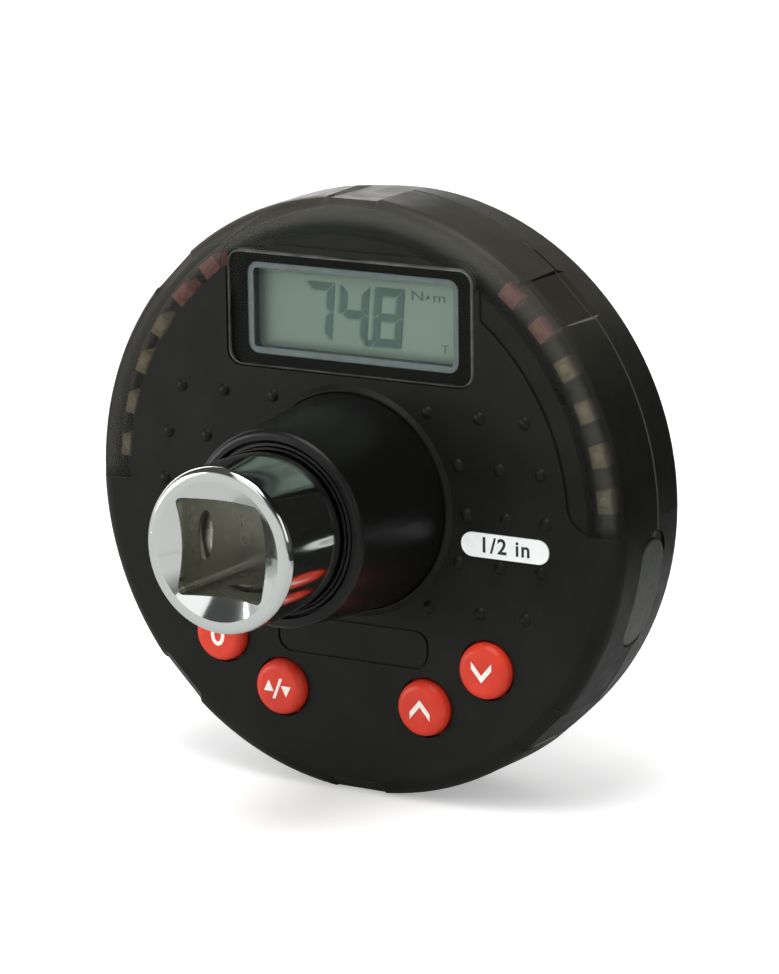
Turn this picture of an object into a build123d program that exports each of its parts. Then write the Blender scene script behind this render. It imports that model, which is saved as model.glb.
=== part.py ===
from build123d import *
from math import cos, radians, sin, sqrt, tan
import os

# Digital torque adapter: a square drive shaft with strain gauges, in a round two-part housing
# with a display, four buttons, a band of lights and two battery bays.
# The drive axis is Y. The origin is the centre of the female square's mouth, +Y runs towards the
# male square, the display faces -Y and its top is +Z. Millimetres.

os.makedirs("parts", exist_ok=True)

# Drive shaft
drive_size = 12.7
socket_play = 0.2
socket_corner = 0.9
socket_depth = 15.8
socket_mouth_radius = 9.3
socket_mouth_angle = 60.0
socket_groove_depth = 0.8
socket_groove_width = 2.4
socket_groove_centre = 7.2
head_radius = 11.05
head_round = 1.0
head_reach = 13.7
gauge_square = 12.0
gauge_corner_radius = 7.5
collar_radius = 10.8
collar_width = 0.8
journal_radius = 9.5
journal_reach = 2.4
square_length = 15.4
square_chamfer = 1.0
square_corner = 1.4

# Detent ball in the male square
ball_radius = 2.5
ball_reach = 0.9
ball_from_end = 6.5
ball_play = 0.12
ball_lip = 0.3
spring_space = 3.8
spring_wire = 0.3

# Sleeve round the head
sleeve_reach = 19.1
sleeve_front_wall = 1.33
sleeve_taper = 1.57
sleeve_round = 0.9
sleeve_play = 0.12
sleeve_flange_width = 2.1
sleeve_flange = 1.6
sleeve_skirt_wall = 3.23
seal_wall = 0.5
seal_gap = 0.4
seal_width = 1.7
seal_inset = 0.3
grub_radius = 1.4
grub_bite = 0.5
grub_hex = 1.3

# Housing
case_radius = 41.3
front_depth = 10.2
front_draft = 0.2
rear_draft = 1.4
shoulder = 2.3
rear_round = 3.4
front_wall = 1.8
rim_wall = 1.9
back_wall = 2.4
inner_round = 1.4
parting_gap = 0.4
lip_height = 1.8
lip_wall = 1.0
lip_play = 0.1
gasket_inset = 0.25
notch_angles = [-135, -90, -45, 45, 90, 135]
notch_width = 7.3
notch_slope = 2.1
notch_depth = 0.55
collar_height = 0.5
foot_width = 0.9
fit_play = 0.05
cut_room = 1.0

# Lowered light band and the lights under it
band_width = 8.1
band_end = -0.8
band_corner = 4.0
band_drop = 0.3
light_gap = 0.6
light_width = 2.2
light_length = 2.9
light_height = 3.3
red_light_angles = [42.2, 51.5]
amber_light_angles = [5.0, 14.3, 23.6, 32.9]

# Raised dots on the panel
dot_count = 3
dot_inset = 3.1
dot_edge = 3.2
dot_row = 6.65
dot_row_count = 5
dot_radius = 0.9
dot_height = 0.5

# Bare plate and bare frame on the panel
plate_gap = 1.33
plate_z = -3.8
plate_length = 13.3
plate_width = 3.3
plate_inset = 0.25
plate_reach = 0.15
frame_gap = 1.7
frame_length = 24.0
frame_width = 5.6
frame_corner = 2.2
frame_line = 0.4
frame_cut = 0.25

# Display
window_gap = 0.995
window_length = 38.72
window_width = 16.17
window_corner = 2.2
window_play = 0.15
window_chamfer = 0.25
window_thickness = 1.05
border_thickness = 0.15
border_corner = 1.6
border_end = 2.845
border_side = 1.79
display_rim = 0.9
window_ledge = 1.2
display_gap = 0.05
lcd_lip = 1.45
lcd_end_play = 0.36
lcd_side_play = 0.135
lcd_frame_corner = 0.8
lcd_open_corner = 0.6
lcd_end_wall = 2.15
lcd_side_wall = 1.3
glass_thickness = 2.0
glass_margin = 0.9
glass_play = 0.1
contact_width = 1.2

# Buttons and their switches
button_inset = 11.7
button_step_angle = 22.5
button_names = ["clear", "units", "up", "down"]
button_radius = 3.85
button_play = 0.35
button_reach = 1.5
button_round = 1.2
button_wall = 1.1
button_flange = 0.7
button_flange_width = 0.8
button_stem_radius = 1.3
button_stem = 0.4
button_travel = 0.6
plunger_radius = 1.2
plunger_rest = 0.1
plunger_seat = 0.8
plunger_play = 0.12
switch_side = 4.5
switch_height = 2.0

# Board and what it carries
board_thickness = 1.6
board_play = 0.5
board_hole_play = 1.0
board_boss_radius = 1.9
board_boss_edge = 5.3
board_boss_inset = 4.1
board_screw_radius = 0.8
board_screw_bite = 2.8
board_head_radius = 1.6
board_head = 1.0
mask_thickness = 0.3
mask_play = 0.4
chip_sizes = [(8.0, 8.0, 1.1), (4.0, 5.0, 1.0), (3.2, 2.5, 0.9)]
chip_places = [(-8.0, -22.5), (7.0, -22.5), (7.0, -27.5)]
buzzer_edge = 5.4
buzzer_radius = 6.0
buzzer_height = 4.4
buzzer_hole = 1.0
sound_hole = 0.55
sound_circle = 2.4
sound_count = 6
gauge_pad = (5.0, 4.0, 0.25)
flex_width = 3.6
flex_thickness = 0.2
flex_foot = 2.6

# Screws that hold the two covers
post_gap = 2.4
post_angle = 28.25
front_post_radius = 2.0
rear_post_radius = 2.8
post_meet = 9.0
cover_screw_radius = 0.9
cover_screw_bite = 5.0
cover_head_radius = 1.9
cover_head = 1.3
cover_head_inset = 0.8
head_play = 0.2
screw_play = 0.12

# Battery bays and doors
cell_radius = 5.25
cell_length = 44.5
cell_nub_radius = 1.9
cell_nub = 1.0
cell_play = 0.25
bay_corner = 1.4
bay_wall = 0.9
bay_floor = 0.6
bay_clearance = 0.1
contact_plate = 0.4
contact_plate_width = 7.0
cell_spring = 3.6
cell_spring_wire = 0.35
cell_spring_base = 3.0
cell_spring_turns = 3
door_thickness = 1.2
door_gap = 0.25
door_play = 0.15
door_ledge = 0.9
door_inner_ledge = 0.45
door_corner = 1.5
door_edge = 0.6
door_post_gap = 0.55
door_screw_inset = 3.0
door_screw_radius = 0.8
door_screw_length = 4.6
door_head_radius = 1.6
door_head = 0.8
door_post_radius = 2.1

# Rear bush and retaining ring
bush_play = 0.05
bush_wall = 2.45
bush_flange = 1.5
bush_flange_width = 1.6
hub_wall = 2.15
hub_reach = 0.5
hub_length = 5.0
ring_thickness = 1.1
ring_groove = 0.8
ring_width = 1.8
ring_slot = 60.0

# Port on the rim
port_angle = -13.9
port_length = 16.9
port_width = 7.0
port_recess = 1.2
port_play = 0.2
port_inset = 0.25
port_nail_gap = 1.1
port_hole_length = 9.0
port_hole_play = 0.2
port_plug_bite = 0.5
port_hole_reach = 3.0
port_offset = -0.4
jack_width = 6.4
jack_length = 8.0
jack_bore = 1.75
jack_gap = 0.5

# Places along the drive axis
panel_y = head_reach + sleeve_reach
inside_y = panel_y + front_wall
parting_y = panel_y + front_depth
front_rim_y = parting_y - parting_gap / 2
rear_rim_y = parting_y + parting_gap / 2
flange_back_y = inside_y + sleeve_flange
plunger_y = inside_y + button_flange + button_stem
switch_y = plunger_y + button_travel + plunger_rest
board_y = switch_y + switch_height
board_back_y = board_y + board_thickness
head_end_y = board_back_y
grub_y = (flange_back_y + head_end_y) / 2
bay_floor_y = board_back_y + bay_clearance
cell_y = bay_floor_y + bay_floor + cell_play + cell_radius
back_y = cell_y + cell_radius + door_gap + door_thickness
door_y = back_y - door_thickness
back_inside_y = back_y - back_wall
hub_back_y = back_y + hub_reach
hub_front_y = hub_back_y - hub_length
bush_front_y = hub_front_y - bush_flange
journal_y = bush_front_y
collar_y = journal_y - collar_width
journal_end_y = hub_back_y + ring_thickness + journal_reach
square_end_y = journal_end_y + square_length
post_y = panel_y + post_meet

# Radii worked out from the driving sizes
socket_square = drive_size + socket_play
seal_radius = head_radius + fit_play + seal_wall
sleeve_bore = head_radius + sleeve_play
sleeve_front_radius = seal_radius + seal_gap + sleeve_front_wall
sleeve_panel_radius = sleeve_front_radius + sleeve_taper
sleeve_flange_radius = sleeve_panel_radius + sleeve_flange_width
sleeve_skirt_radius = sleeve_bore + sleeve_skirt_wall
sleeve_hole = sleeve_panel_radius + sleeve_play
foot_radius = sleeve_hole + foot_width
rim_inside = case_radius - rim_wall
front_sharp_radius = case_radius - front_draft
rear_sharp_radius = case_radius - rear_draft
flat_back_radius = rear_sharp_radius - rear_round
board_radius = rim_inside - board_play
bush_bore = journal_radius + bush_play
bush_radius = bush_bore + bush_wall
hub_bore = bush_radius + fit_play
hub_radius = hub_bore + hub_wall
cell_x = hub_radius + bay_wall + cell_play + cell_radius
bay_half = cell_radius + cell_play
bay_length = cell_length + cell_spring + 2 * contact_plate
cell_low_z = -bay_length / 2 + contact_plate + cell_spring
door_radius = flat_back_radius - door_edge
ball_y = square_end_y - ball_from_end
ball_z = drive_size / 2 + ball_reach - ball_radius

# Places on the panel and the board, worked out from the case and the sleeve
band_radius = case_radius - band_width
light_radius = rim_inside - light_gap - light_width / 2
button_circle = case_radius - button_inset
button_angles = {}
for place, name in enumerate(button_names):
    # The two middle buttons leave a place free at the very bottom
    step = place - 2 + place // 2
    button_angles[name] = step * button_step_angle - 90
post_circle = rim_inside - rear_post_radius - post_gap
post_angles = [post_angle, 180 - post_angle, -post_angle, post_angle - 180, -90]
dot_inner = sleeve_panel_radius + dot_inset
dot_pitch = (band_radius - dot_edge - dot_inner) / (dot_count - 1)
dot_circles = [dot_inner + dot_pitch * step for step in range(dot_count)]
dot_rows = [dot_row * (step - dot_row_count // 2) for step in range(dot_row_count)]
plate_x = foot_radius + plate_gap + plate_length / 2
frame_z = -(sleeve_panel_radius + frame_gap + frame_width / 2)
display_z = foot_radius + window_gap + window_width / 2
buzzer_z = board_radius - buzzer_edge - buzzer_radius
door_screw_z = bay_length / 2 + bay_wall + door_post_radius + door_post_gap

# Display sizes worked out from its window
clear_length = window_length - 2 * border_end
clear_width = window_width - 2 * border_side
lcd_frame_length = window_length - 2 * (window_ledge + lcd_end_play)
lcd_frame_width = window_width - 2 * (window_ledge + lcd_side_play)
lcd_open_length = lcd_frame_length - 2 * lcd_end_wall
lcd_open_width = lcd_frame_width - 2 * lcd_side_wall


def below(z):
    """In the open sketch, takes away everything under z."""
    with Locations((0, z)):
        Rectangle(3 * case_radius, 2 * case_radius, align=(Align.CENTER, Align.MAX), mode=Mode.SUBTRACT)


def facing(y):
    """Plane across the drive axis at y: its x is +X, its y is +Z, and it faces the user."""
    return Plane.XZ.offset(-y)


def on_circle(radius, degrees):
    """Point of a circle round the drive axis, in a facing plane."""
    return (radius * cos(radians(degrees)), radius * sin(radians(degrees)))


def tube(outer, inner, start, end):
    """Plain ring round the drive axis."""
    with BuildPart() as ring:
        with BuildSketch(facing(start)):
            Circle(outer)
            Circle(inner, mode=Mode.SUBTRACT)
        extrude(amount=start - end)
    return ring.part


def screw(radius, length, head_radius, head_height, seat_y, places):
    """Pan head screws whose heads bear on seat_y and whose shanks point at the user."""
    with BuildPart() as screws:
        with BuildSketch(facing(seat_y)):
            with Locations(*places):
                Circle(radius)
        extrude(amount=length)
        with BuildSketch(facing(seat_y)):
            with Locations(*places):
                Circle(head_radius)
        extrude(amount=-head_height)
        top = screws.edges().filter_by(GeomType.CIRCLE).group_by(Axis.Y)[-1]
        fillet(top, head_height * 0.4)
        with BuildSketch(facing(seat_y + head_height)):
            with Locations(*places):
                Rectangle(head_radius * 1.1, head_radius * 0.28)
                Rectangle(head_radius * 0.28, head_radius * 1.1)
        extrude(amount=head_height * 0.5, mode=Mode.SUBTRACT)
    return screws.part


# Drive shaft: female head, thin gauge section, journal and male square in one forging
with BuildPart() as shaft:
    with BuildSketch(Plane.XY):
        with BuildLine():
            Polyline(
                (0, 0),
                (head_radius, 0),
                (head_radius, head_end_y),
                (gauge_corner_radius, head_end_y),
                (gauge_corner_radius, collar_y),
                (collar_radius, collar_y),
                (collar_radius, journal_y),
                (journal_radius, journal_y),
                (journal_radius, hub_back_y),
                (journal_radius - ring_groove, hub_back_y),
                (journal_radius - ring_groove, hub_back_y + ring_thickness),
                (journal_radius, hub_back_y + ring_thickness),
                (journal_radius, journal_end_y - journal_reach / 3),
                (journal_radius - journal_reach / 3, journal_end_y),
                (0, journal_end_y),
                close=True,
            )
        make_face()
    revolve(axis=Axis.Y)
    fillet(shaft.faces().sort_by(Axis.Y)[0].edges(), head_round)
    # The gauge section is squared so that the gauges lie on flats
    with BuildSketch(facing(head_end_y)):
        Circle(head_radius)
        Rectangle(gauge_square, gauge_square, mode=Mode.SUBTRACT)
    extrude(amount=head_end_y - collar_y, mode=Mode.SUBTRACT)
    with BuildSketch(facing(journal_end_y)):
        RectangleRounded(drive_size, drive_size, square_corner)
    extrude(amount=-square_length)
    end_edges = shaft.faces().sort_by(Axis.Y)[-1].edges()
    chamfer(end_edges, square_chamfer)
    # Female square with its countersink and turned groove
    with BuildSketch(facing(0)):
        RectangleRounded(socket_square, socket_square, socket_corner)
    extrude(amount=-socket_depth, mode=Mode.SUBTRACT)
    core = socket_square / 4
    mouth_drop = (socket_mouth_radius - core) / tan(radians(socket_mouth_angle))
    groove_radius = socket_square / 2 + socket_groove_depth
    groove_low = socket_groove_centre - socket_groove_width / 2
    groove_high = socket_groove_centre + socket_groove_width / 2
    with BuildSketch(Plane.XY):
        with BuildLine():
            Polyline((0, 0), (socket_mouth_radius, 0), (core, mouth_drop), (0, mouth_drop), close=True)
        make_face()
    revolve(axis=Axis.Y, mode=Mode.SUBTRACT)
    with BuildSketch(Plane.XY):
        with BuildLine():
            Line((0, groove_high), (0, groove_low))
            Line((0, groove_low), (core, groove_low))
            ThreePointArc((core, groove_low), (groove_radius, socket_groove_centre), (core, groove_high))
            Line((core, groove_high), (0, groove_high))
        make_face()
    revolve(axis=Axis.Y, mode=Mode.SUBTRACT)
    # Groove that the sleeve's grub screws bite into
    with BuildSketch(facing(grub_y - grub_radius - fit_play)):
        Circle(head_radius + cut_room)
        Circle(head_radius - grub_bite, mode=Mode.SUBTRACT)
    extrude(amount=-2 * (grub_radius + fit_play), mode=Mode.SUBTRACT)
    # Pocket for the detent ball, narrowed by a staked lip at the flat
    with BuildSketch(Plane.XY.offset(drive_size / 2 - ball_lip)):
        with Locations((0, ball_y)):
            Circle(ball_radius + ball_play)
    extrude(amount=-(drive_size / 2 - ball_lip - ball_z + ball_radius + spring_space), mode=Mode.SUBTRACT)
    lip_cut = sqrt(ball_radius**2 - (drive_size / 2 - ball_lip - ball_z) ** 2) + ball_play
    with BuildSketch(Plane.XY.offset(drive_size / 2)):
        with Locations((0, ball_y)):
            Circle(lip_cut)
    extrude(amount=-2 * ball_lip, mode=Mode.SUBTRACT)
shaft.part.label = "drive_shaft"
export_step(shaft.part, "parts/drive_shaft.step")

# Detent ball and the spring behind it
with BuildPart() as ball:
    with Locations((0, ball_y, ball_z)):
        Sphere(ball_radius)
ball.part.label = "detent_ball"
export_step(ball.part, "parts/detent_ball.step")

spring_top = ball_z - ball_radius
spring_radius = ball_radius - 2 * spring_wire
spring_low = spring_top - spring_space
with BuildPart() as detent_spring:
    with BuildLine():
        coil = Helix(
            pitch=(spring_space - 2 * spring_wire) / 3,
            height=spring_space - 2 * spring_wire,
            radius=spring_radius,
            center=(0, ball_y, spring_low + spring_wire),
        )
    with BuildSketch(Plane(origin=coil @ 0, z_dir=coil % 0)):
        Circle(spring_wire)
    sweep(is_frenet=True)
detent_spring.part.label = "detent_spring"
export_step(detent_spring.part, "parts/detent_spring.step")

# Tapered sleeve with its flange behind the panel and its skirt inside
with BuildPart() as sleeve:
    with BuildSketch(Plane.XY) as profile:
        with BuildLine():
            Polyline(
                (seal_radius + seal_gap, head_reach),
                (sleeve_front_radius, head_reach),
                (sleeve_panel_radius, panel_y),
                (sleeve_panel_radius, inside_y),
                (sleeve_flange_radius, inside_y),
                (sleeve_flange_radius, flange_back_y),
                (sleeve_skirt_radius, flange_back_y),
                (sleeve_skirt_radius, head_end_y),
                (sleeve_bore, head_end_y),
                (sleeve_bore, head_reach + seal_inset + seal_width),
                (seal_radius + seal_gap, head_reach + seal_inset + seal_width),
                close=True,
            )
        make_face()
        front_rim = profile.vertices().group_by(Axis.Y)[0].sort_by(Axis.X)[-1]
        fillet(front_rim, sleeve_round)
    revolve(axis=Axis.Y)
    for side in (1, -1):
        with BuildSketch(Plane.YZ):
            with Locations((grub_y, 0)):
                Circle(grub_radius + fit_play)
        extrude(amount=side * (sleeve_skirt_radius + cut_room), mode=Mode.SUBTRACT)
sleeve.part.label = "boss_sleeve"
export_step(sleeve.part, "parts/boss_sleeve.step")

with BuildPart() as grubs:
    for side in (1, -1):
        with BuildSketch(Plane.YZ.offset(side * (head_radius - grub_bite + fit_play))):
            with Locations((grub_y, 0)):
                Circle(grub_radius)
        extrude(amount=side * (sleeve_skirt_radius - head_radius))
        with BuildSketch(Plane.YZ.offset(side * (sleeve_skirt_radius - grub_bite + fit_play))):
            with Locations((grub_y, 0)):
                RegularPolygon(grub_hex / 2, 6)
        extrude(amount=-side * grub_hex, mode=Mode.SUBTRACT)
grubs.part.label = "sleeve_grub_screws"
export_step(grubs.part, "parts/sleeve_grub_screws.step")

with BuildPart() as seal:
    seal_y = head_reach + seal_inset
    add(tube(seal_radius, head_radius + fit_play, seal_y, seal_y + seal_width))
    fillet(seal.edges().filter_by(GeomType.CIRCLE).group_by(Axis.Y)[0], seal_wall * 0.3)
seal.part.label = "front_seal"
export_step(seal.part, "parts/front_seal.step")

# Planes and places shared by the covers, the gasket and the plug
port_direction = Vector(cos(radians(port_angle)), 0, sin(radians(port_angle)))
port_tangent = Vector(-sin(radians(port_angle)), 0, cos(radians(port_angle)))
port_y = parting_y + port_offset
jack_height = 2 * (port_y - board_back_y)
port_hole_width = jack_height + 2 * port_hole_play


def port_plane(radius):
    """Plane on the rim at the port, facing outwards: its x runs along the rim, up."""
    middle = port_direction * radius + Vector(0, port_y, 0)
    return Plane(origin=middle, x_dir=port_tangent, z_dir=port_direction)


def notch_plane(degrees):
    """Facing plane whose y axis points outwards at one rim notch."""
    out = Vector(cos(radians(degrees)), 0, sin(radians(degrees)))
    return Plane(origin=(0, panel_y - cut_room, 0), x_dir=Vector(out.Z, 0, -out.X), z_dir=(0, -1, 0))


def slope_plane(degrees):
    """Plane across the shoulder at one rim notch: its y axis points outwards and forwards at 45 degrees."""
    out = Vector(cos(radians(degrees)), 0, sin(radians(degrees)))
    return Plane(origin=(0, panel_y, 0), x_dir=Vector(out.Z, 0, -out.X), z_dir=(-out.X, -1, -out.Z))


def notch_section(floor):
    """In the open sketch, the section of a rim notch: flat floor, sides that open outwards."""
    top = floor + notch_depth + cut_room
    half = notch_width / 2
    flare = half + notch_slope * (top - floor)
    Polygon((-half, floor), (half, floor), (flare, top), (-flare, top), align=None)


case_length = back_y - panel_y
post_places = [on_circle(post_circle, a) for a in post_angles]
board_boss_x = board_radius - board_boss_edge
board_boss_places = [(board_boss_x, 0), (-board_boss_x, 0), (0, board_boss_inset - button_circle)]
button_places = [on_circle(button_circle, a) for a in button_angles.values()]
button_hole = button_radius + button_play
dot_places = [(s * sqrt(r * r - z * z), z) for r in dot_circles for z in dot_rows for s in (1, -1)]

# What is cut away to lower the light band: everything outside its arc and above its end, but not
# the rim of the display, down to a second shoulder that lies band_drop behind the first
band_floor = panel_y + band_drop
with BuildPart() as band_cut:
    with BuildSketch(facing(panel_y - cut_room)) as band:
        Circle(case_radius + cut_room)
        Circle(band_radius, mode=Mode.SUBTRACT)
        below(band_end)
        fillet(band.vertices().group_by(SortBy.DISTANCE)[0], band_corner)
        with Locations((0, display_z)):
            RectangleRounded(
                window_length + 2 * display_rim,
                window_width + 2 * display_rim,
                window_corner + display_rim,
                mode=Mode.SUBTRACT,
            )
    extrude(amount=-(cut_room + band_drop + shoulder))
    with BuildSketch(Plane.XY):
        with BuildLine():
            Polyline((case_radius - shoulder, band_floor), (0, band_floor), (0, panel_y - cut_room))
            Line((0, panel_y - cut_room), (case_radius, panel_y - cut_room))
            Line((case_radius, panel_y - cut_room), (case_radius, band_floor + shoulder))
            RadiusArc((case_radius, band_floor + shoulder), (case_radius - shoulder, band_floor), shoulder)
        make_face()
    revolve(axis=Axis.Y, mode=Mode.INTERSECT)

# Front cover
with BuildPart() as front:
    with BuildSketch(Plane.XY) as profile:
        with BuildLine():
            Polyline(
                (sleeve_hole, panel_y - collar_height),
                (sleeve_hole + foot_width * 0.3, panel_y - collar_height),
                (foot_radius, panel_y),
                (front_sharp_radius, panel_y),
                (case_radius, front_rim_y),
                (rim_inside, front_rim_y),
                (rim_inside, inside_y),
                (sleeve_hole, inside_y),
                close=True,
            )
        make_face()
        shoulder_corner = profile.vertices().sort_by_distance((front_sharp_radius, panel_y))[0]
        fillet(shoulder_corner, shoulder)
        inner_corner = profile.vertices().sort_by_distance((rim_inside, inside_y))[0]
        fillet(inner_corner, inner_round)
    revolve(axis=Axis.Y)
    add(band_cut.part, mode=Mode.SUBTRACT)
    # Raised dots
    dot_sphere = (dot_radius**2 + dot_height**2) / (2 * dot_height)
    with Locations(*[(x, panel_y + dot_sphere - dot_height, z) for x, z in dot_places]):
        Sphere(dot_sphere)
    # Bosses for the board and for the cover screws
    with BuildSketch(facing(inside_y)):
        with Locations(*board_boss_places):
            Circle(board_boss_radius)
    extrude(amount=inside_y - board_y)
    with BuildSketch(facing(inside_y)):
        with Locations(*post_places):
            Circle(front_post_radius)
    extrude(amount=inside_y - post_y)
    with BuildSketch(facing(post_y)):
        with Locations(*post_places):
            Circle(cover_screw_radius + fit_play)
    extrude(amount=cover_screw_bite + cut_room, mode=Mode.SUBTRACT)
    with BuildSketch(facing(board_y)):
        with Locations(*board_boss_places):
            Circle(board_screw_radius + fit_play)
    extrude(amount=board_screw_bite + cut_room / 3, mode=Mode.SUBTRACT)
    # Display opening with its ledge
    with BuildSketch(facing(panel_y)):
        with Locations((0, display_z)):
            RectangleRounded(window_length, window_width, window_corner)
    extrude(amount=-(window_thickness + border_thickness), mode=Mode.SUBTRACT)
    with BuildSketch(facing(panel_y)):
        with Locations((0, display_z)):
            RectangleRounded(
                window_length - 2 * window_ledge,
                window_width - 2 * window_ledge,
                window_corner - window_ledge,
            )
    extrude(amount=-2 * front_wall, mode=Mode.SUBTRACT)
    # Button holes, plate recess and bare frame line
    with BuildSketch(facing(panel_y)):
        with Locations(*button_places):
            Circle(button_hole)
    extrude(amount=-2 * front_wall, mode=Mode.SUBTRACT)
    with BuildSketch(facing(panel_y)):
        with Locations((plate_x, plate_z)):
            SlotOverall(plate_length + 2 * fit_play, plate_width + 2 * fit_play)
    extrude(amount=-plate_inset, mode=Mode.SUBTRACT)
    with BuildSketch(facing(panel_y)):
        with Locations((0, frame_z)):
            RectangleRounded(frame_length, frame_width, frame_corner)
            RectangleRounded(
                frame_length - 2 * frame_line,
                frame_width - 2 * frame_line,
                frame_corner - frame_line,
                mode=Mode.SUBTRACT,
            )
    extrude(amount=-frame_cut, mode=Mode.SUBTRACT)
    # Rim notches, which run on over the shoulder to the panel
    slope_floor = (front_sharp_radius - 2 * shoulder) / sqrt(2) + shoulder - notch_depth
    for angle in notch_angles:
        with BuildSketch(notch_plane(angle)):
            notch_section(case_radius - notch_depth)
        extrude(amount=-(case_length + 2 * cut_room), mode=Mode.SUBTRACT)
        with BuildSketch(slope_plane(angle)):
            notch_section(slope_floor)
        extrude(amount=-case_radius, mode=Mode.SUBTRACT)
    # Port recess and the hole through to the jack
    with BuildSketch(port_plane(case_radius + cut_room)):
        SlotOverall(port_length, port_width)
    extrude(amount=-(port_recess + cut_room), mode=Mode.SUBTRACT)
    with BuildSketch(port_plane(case_radius + cut_room)):
        SlotOverall(port_hole_length, port_hole_width)
    extrude(amount=-(rim_wall + port_hole_reach), mode=Mode.SUBTRACT)
front.part.label = "front_cover"
export_step(front.part, "parts/front_cover.step")

# Rear cover with the hub for the bush, the battery bays and the screw posts
door_outer_x = cell_x + bay_half + door_ledge
door_inner_x = cell_x - bay_half - door_inner_ledge
door_screw_x = door_inner_x + door_screw_inset


def door_outline(play):
    """Door shape in the sketch that is open: a strip cut off by the round of the back."""
    Circle(door_radius + play)
    keep_low = door_inner_x - play
    keep_high = door_outer_x + play
    with Locations(((keep_low + keep_high) / 2, 0)):
        Rectangle(keep_high - keep_low, 3 * case_radius, mode=Mode.INTERSECT)


with BuildPart() as rear:
    with BuildSketch(Plane.XY) as profile:
        with BuildLine():
            Polyline(
                (hub_bore, hub_back_y),
                (hub_radius, hub_back_y),
                (hub_radius, back_y),
                (rear_sharp_radius, back_y),
                (case_radius, rear_rim_y),
                (rim_inside - lip_play, rear_rim_y),
                (rim_inside - lip_play, rear_rim_y - lip_height),
                (rim_inside - lip_play - lip_wall, rear_rim_y - lip_height),
                (rim_inside - lip_play - lip_wall, rear_rim_y),
                (rear_sharp_radius - rim_wall, back_inside_y),
                (hub_radius, back_inside_y),
                (hub_radius, hub_front_y),
                (hub_bore, hub_front_y),
                close=True,
            )
        make_face()
        outer_corner = profile.vertices().sort_by_distance((rear_sharp_radius, back_y))[0]
        fillet(outer_corner, rear_round)
        inner_corner = profile.vertices().sort_by_distance((rear_sharp_radius - rim_wall, back_inside_y))[0]
        fillet(inner_corner, inner_round)
    revolve(axis=Axis.Y)
    # Bay walls, then the screw posts
    with BuildSketch(facing(bay_floor_y)):
        with Locations((cell_x, 0), (-cell_x, 0)):
            RectangleRounded(
                2 * (bay_half + bay_wall),
                bay_length + 2 * bay_wall,
                bay_corner + bay_wall,
            )
    extrude(amount=bay_floor_y - back_inside_y)
    with BuildSketch(facing(post_y)):
        with Locations(*post_places):
            Circle(rear_post_radius)
    extrude(amount=post_y - back_inside_y)
    door_post_places = [(sx * door_screw_x, sz * door_screw_z) for sx in (1, -1) for sz in (1, -1)]
    with BuildSketch(facing(door_y - door_screw_length - cut_room)):
        with Locations(*door_post_places):
            Circle(door_post_radius)
    extrude(amount=-(door_screw_length + cut_room - (back_wall - door_thickness)))
    # Cut the bays, the door recesses and the screw holes
    with BuildSketch(facing(bay_floor_y + bay_floor)):
        with Locations((cell_x, 0), (-cell_x, 0)):
            RectangleRounded(2 * bay_half, bay_length, bay_corner)
    extrude(amount=-(back_y - bay_floor_y), mode=Mode.SUBTRACT)
    for side in (1, -1):
        recess_plane = Plane(origin=(0, door_y, 0), x_dir=(side, 0, 0), z_dir=(0, -side, 0))
        with BuildSketch(recess_plane) as recess:
            door_outline(door_play)
            fillet(recess.vertices(), door_corner + door_play)
        extrude(amount=-side * 2 * door_thickness, mode=Mode.SUBTRACT)
    with BuildSketch(facing(door_y - door_screw_length)):
        with Locations(*door_post_places):
            Circle(door_screw_radius + screw_play)
    extrude(amount=-door_screw_length, mode=Mode.SUBTRACT)
    with BuildSketch(facing(post_y)):
        with Locations(*post_places):
            Circle(cover_screw_radius + screw_play)
    extrude(amount=-(back_y - post_y), mode=Mode.SUBTRACT)
    cover_seat_y = back_y - cover_head_inset - cover_head
    with BuildSketch(facing(cover_seat_y)):
        with Locations(*post_places):
            Circle(cover_head_radius + head_play)
    extrude(amount=-(cover_head + cover_head_inset + cut_room), mode=Mode.SUBTRACT)
    # Sound holes over the buzzer
    with BuildSketch(facing(back_inside_y)):
        with Locations((0, buzzer_z)):
            Circle(sound_hole)
            with PolarLocations(sound_circle, sound_count):
                Circle(sound_hole)
    extrude(amount=-2 * back_wall, mode=Mode.SUBTRACT)
    for angle in notch_angles:
        with BuildSketch(notch_plane(angle)):
            notch_section(case_radius - notch_depth)
        extrude(amount=-(case_length + 2 * cut_room), mode=Mode.SUBTRACT)
    with BuildSketch(port_plane(case_radius + cut_room)):
        SlotOverall(port_length, port_width)
    extrude(amount=-(port_recess + cut_room), mode=Mode.SUBTRACT)
    with BuildSketch(port_plane(case_radius + cut_room)):
        SlotOverall(port_hole_length, port_hole_width)
    extrude(amount=-(rim_wall + port_hole_reach), mode=Mode.SUBTRACT)
rear.part.label = "rear_cover"
export_step(rear.part, "parts/rear_cover.step")

# Gasket between the two rims
with BuildPart() as gasket:
    add(tube(case_radius - gasket_inset, rim_inside, front_rim_y, rear_rim_y))
    for angle in notch_angles:
        with BuildSketch(notch_plane(angle)):
            notch_section(case_radius - notch_depth)
        extrude(amount=-(case_length + 2 * cut_room), mode=Mode.SUBTRACT)
    with BuildSketch(port_plane(case_radius + cut_room)):
        SlotOverall(port_length, port_width)
    extrude(amount=-(port_recess + cut_room), mode=Mode.SUBTRACT)
    with BuildSketch(port_plane(case_radius + cut_room)):
        SlotOverall(port_hole_length, port_hole_width)
    extrude(amount=-(rim_wall + port_hole_reach), mode=Mode.SUBTRACT)
gasket.part.label = "cover_gasket"
export_step(gasket.part, "parts/cover_gasket.step")

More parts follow.
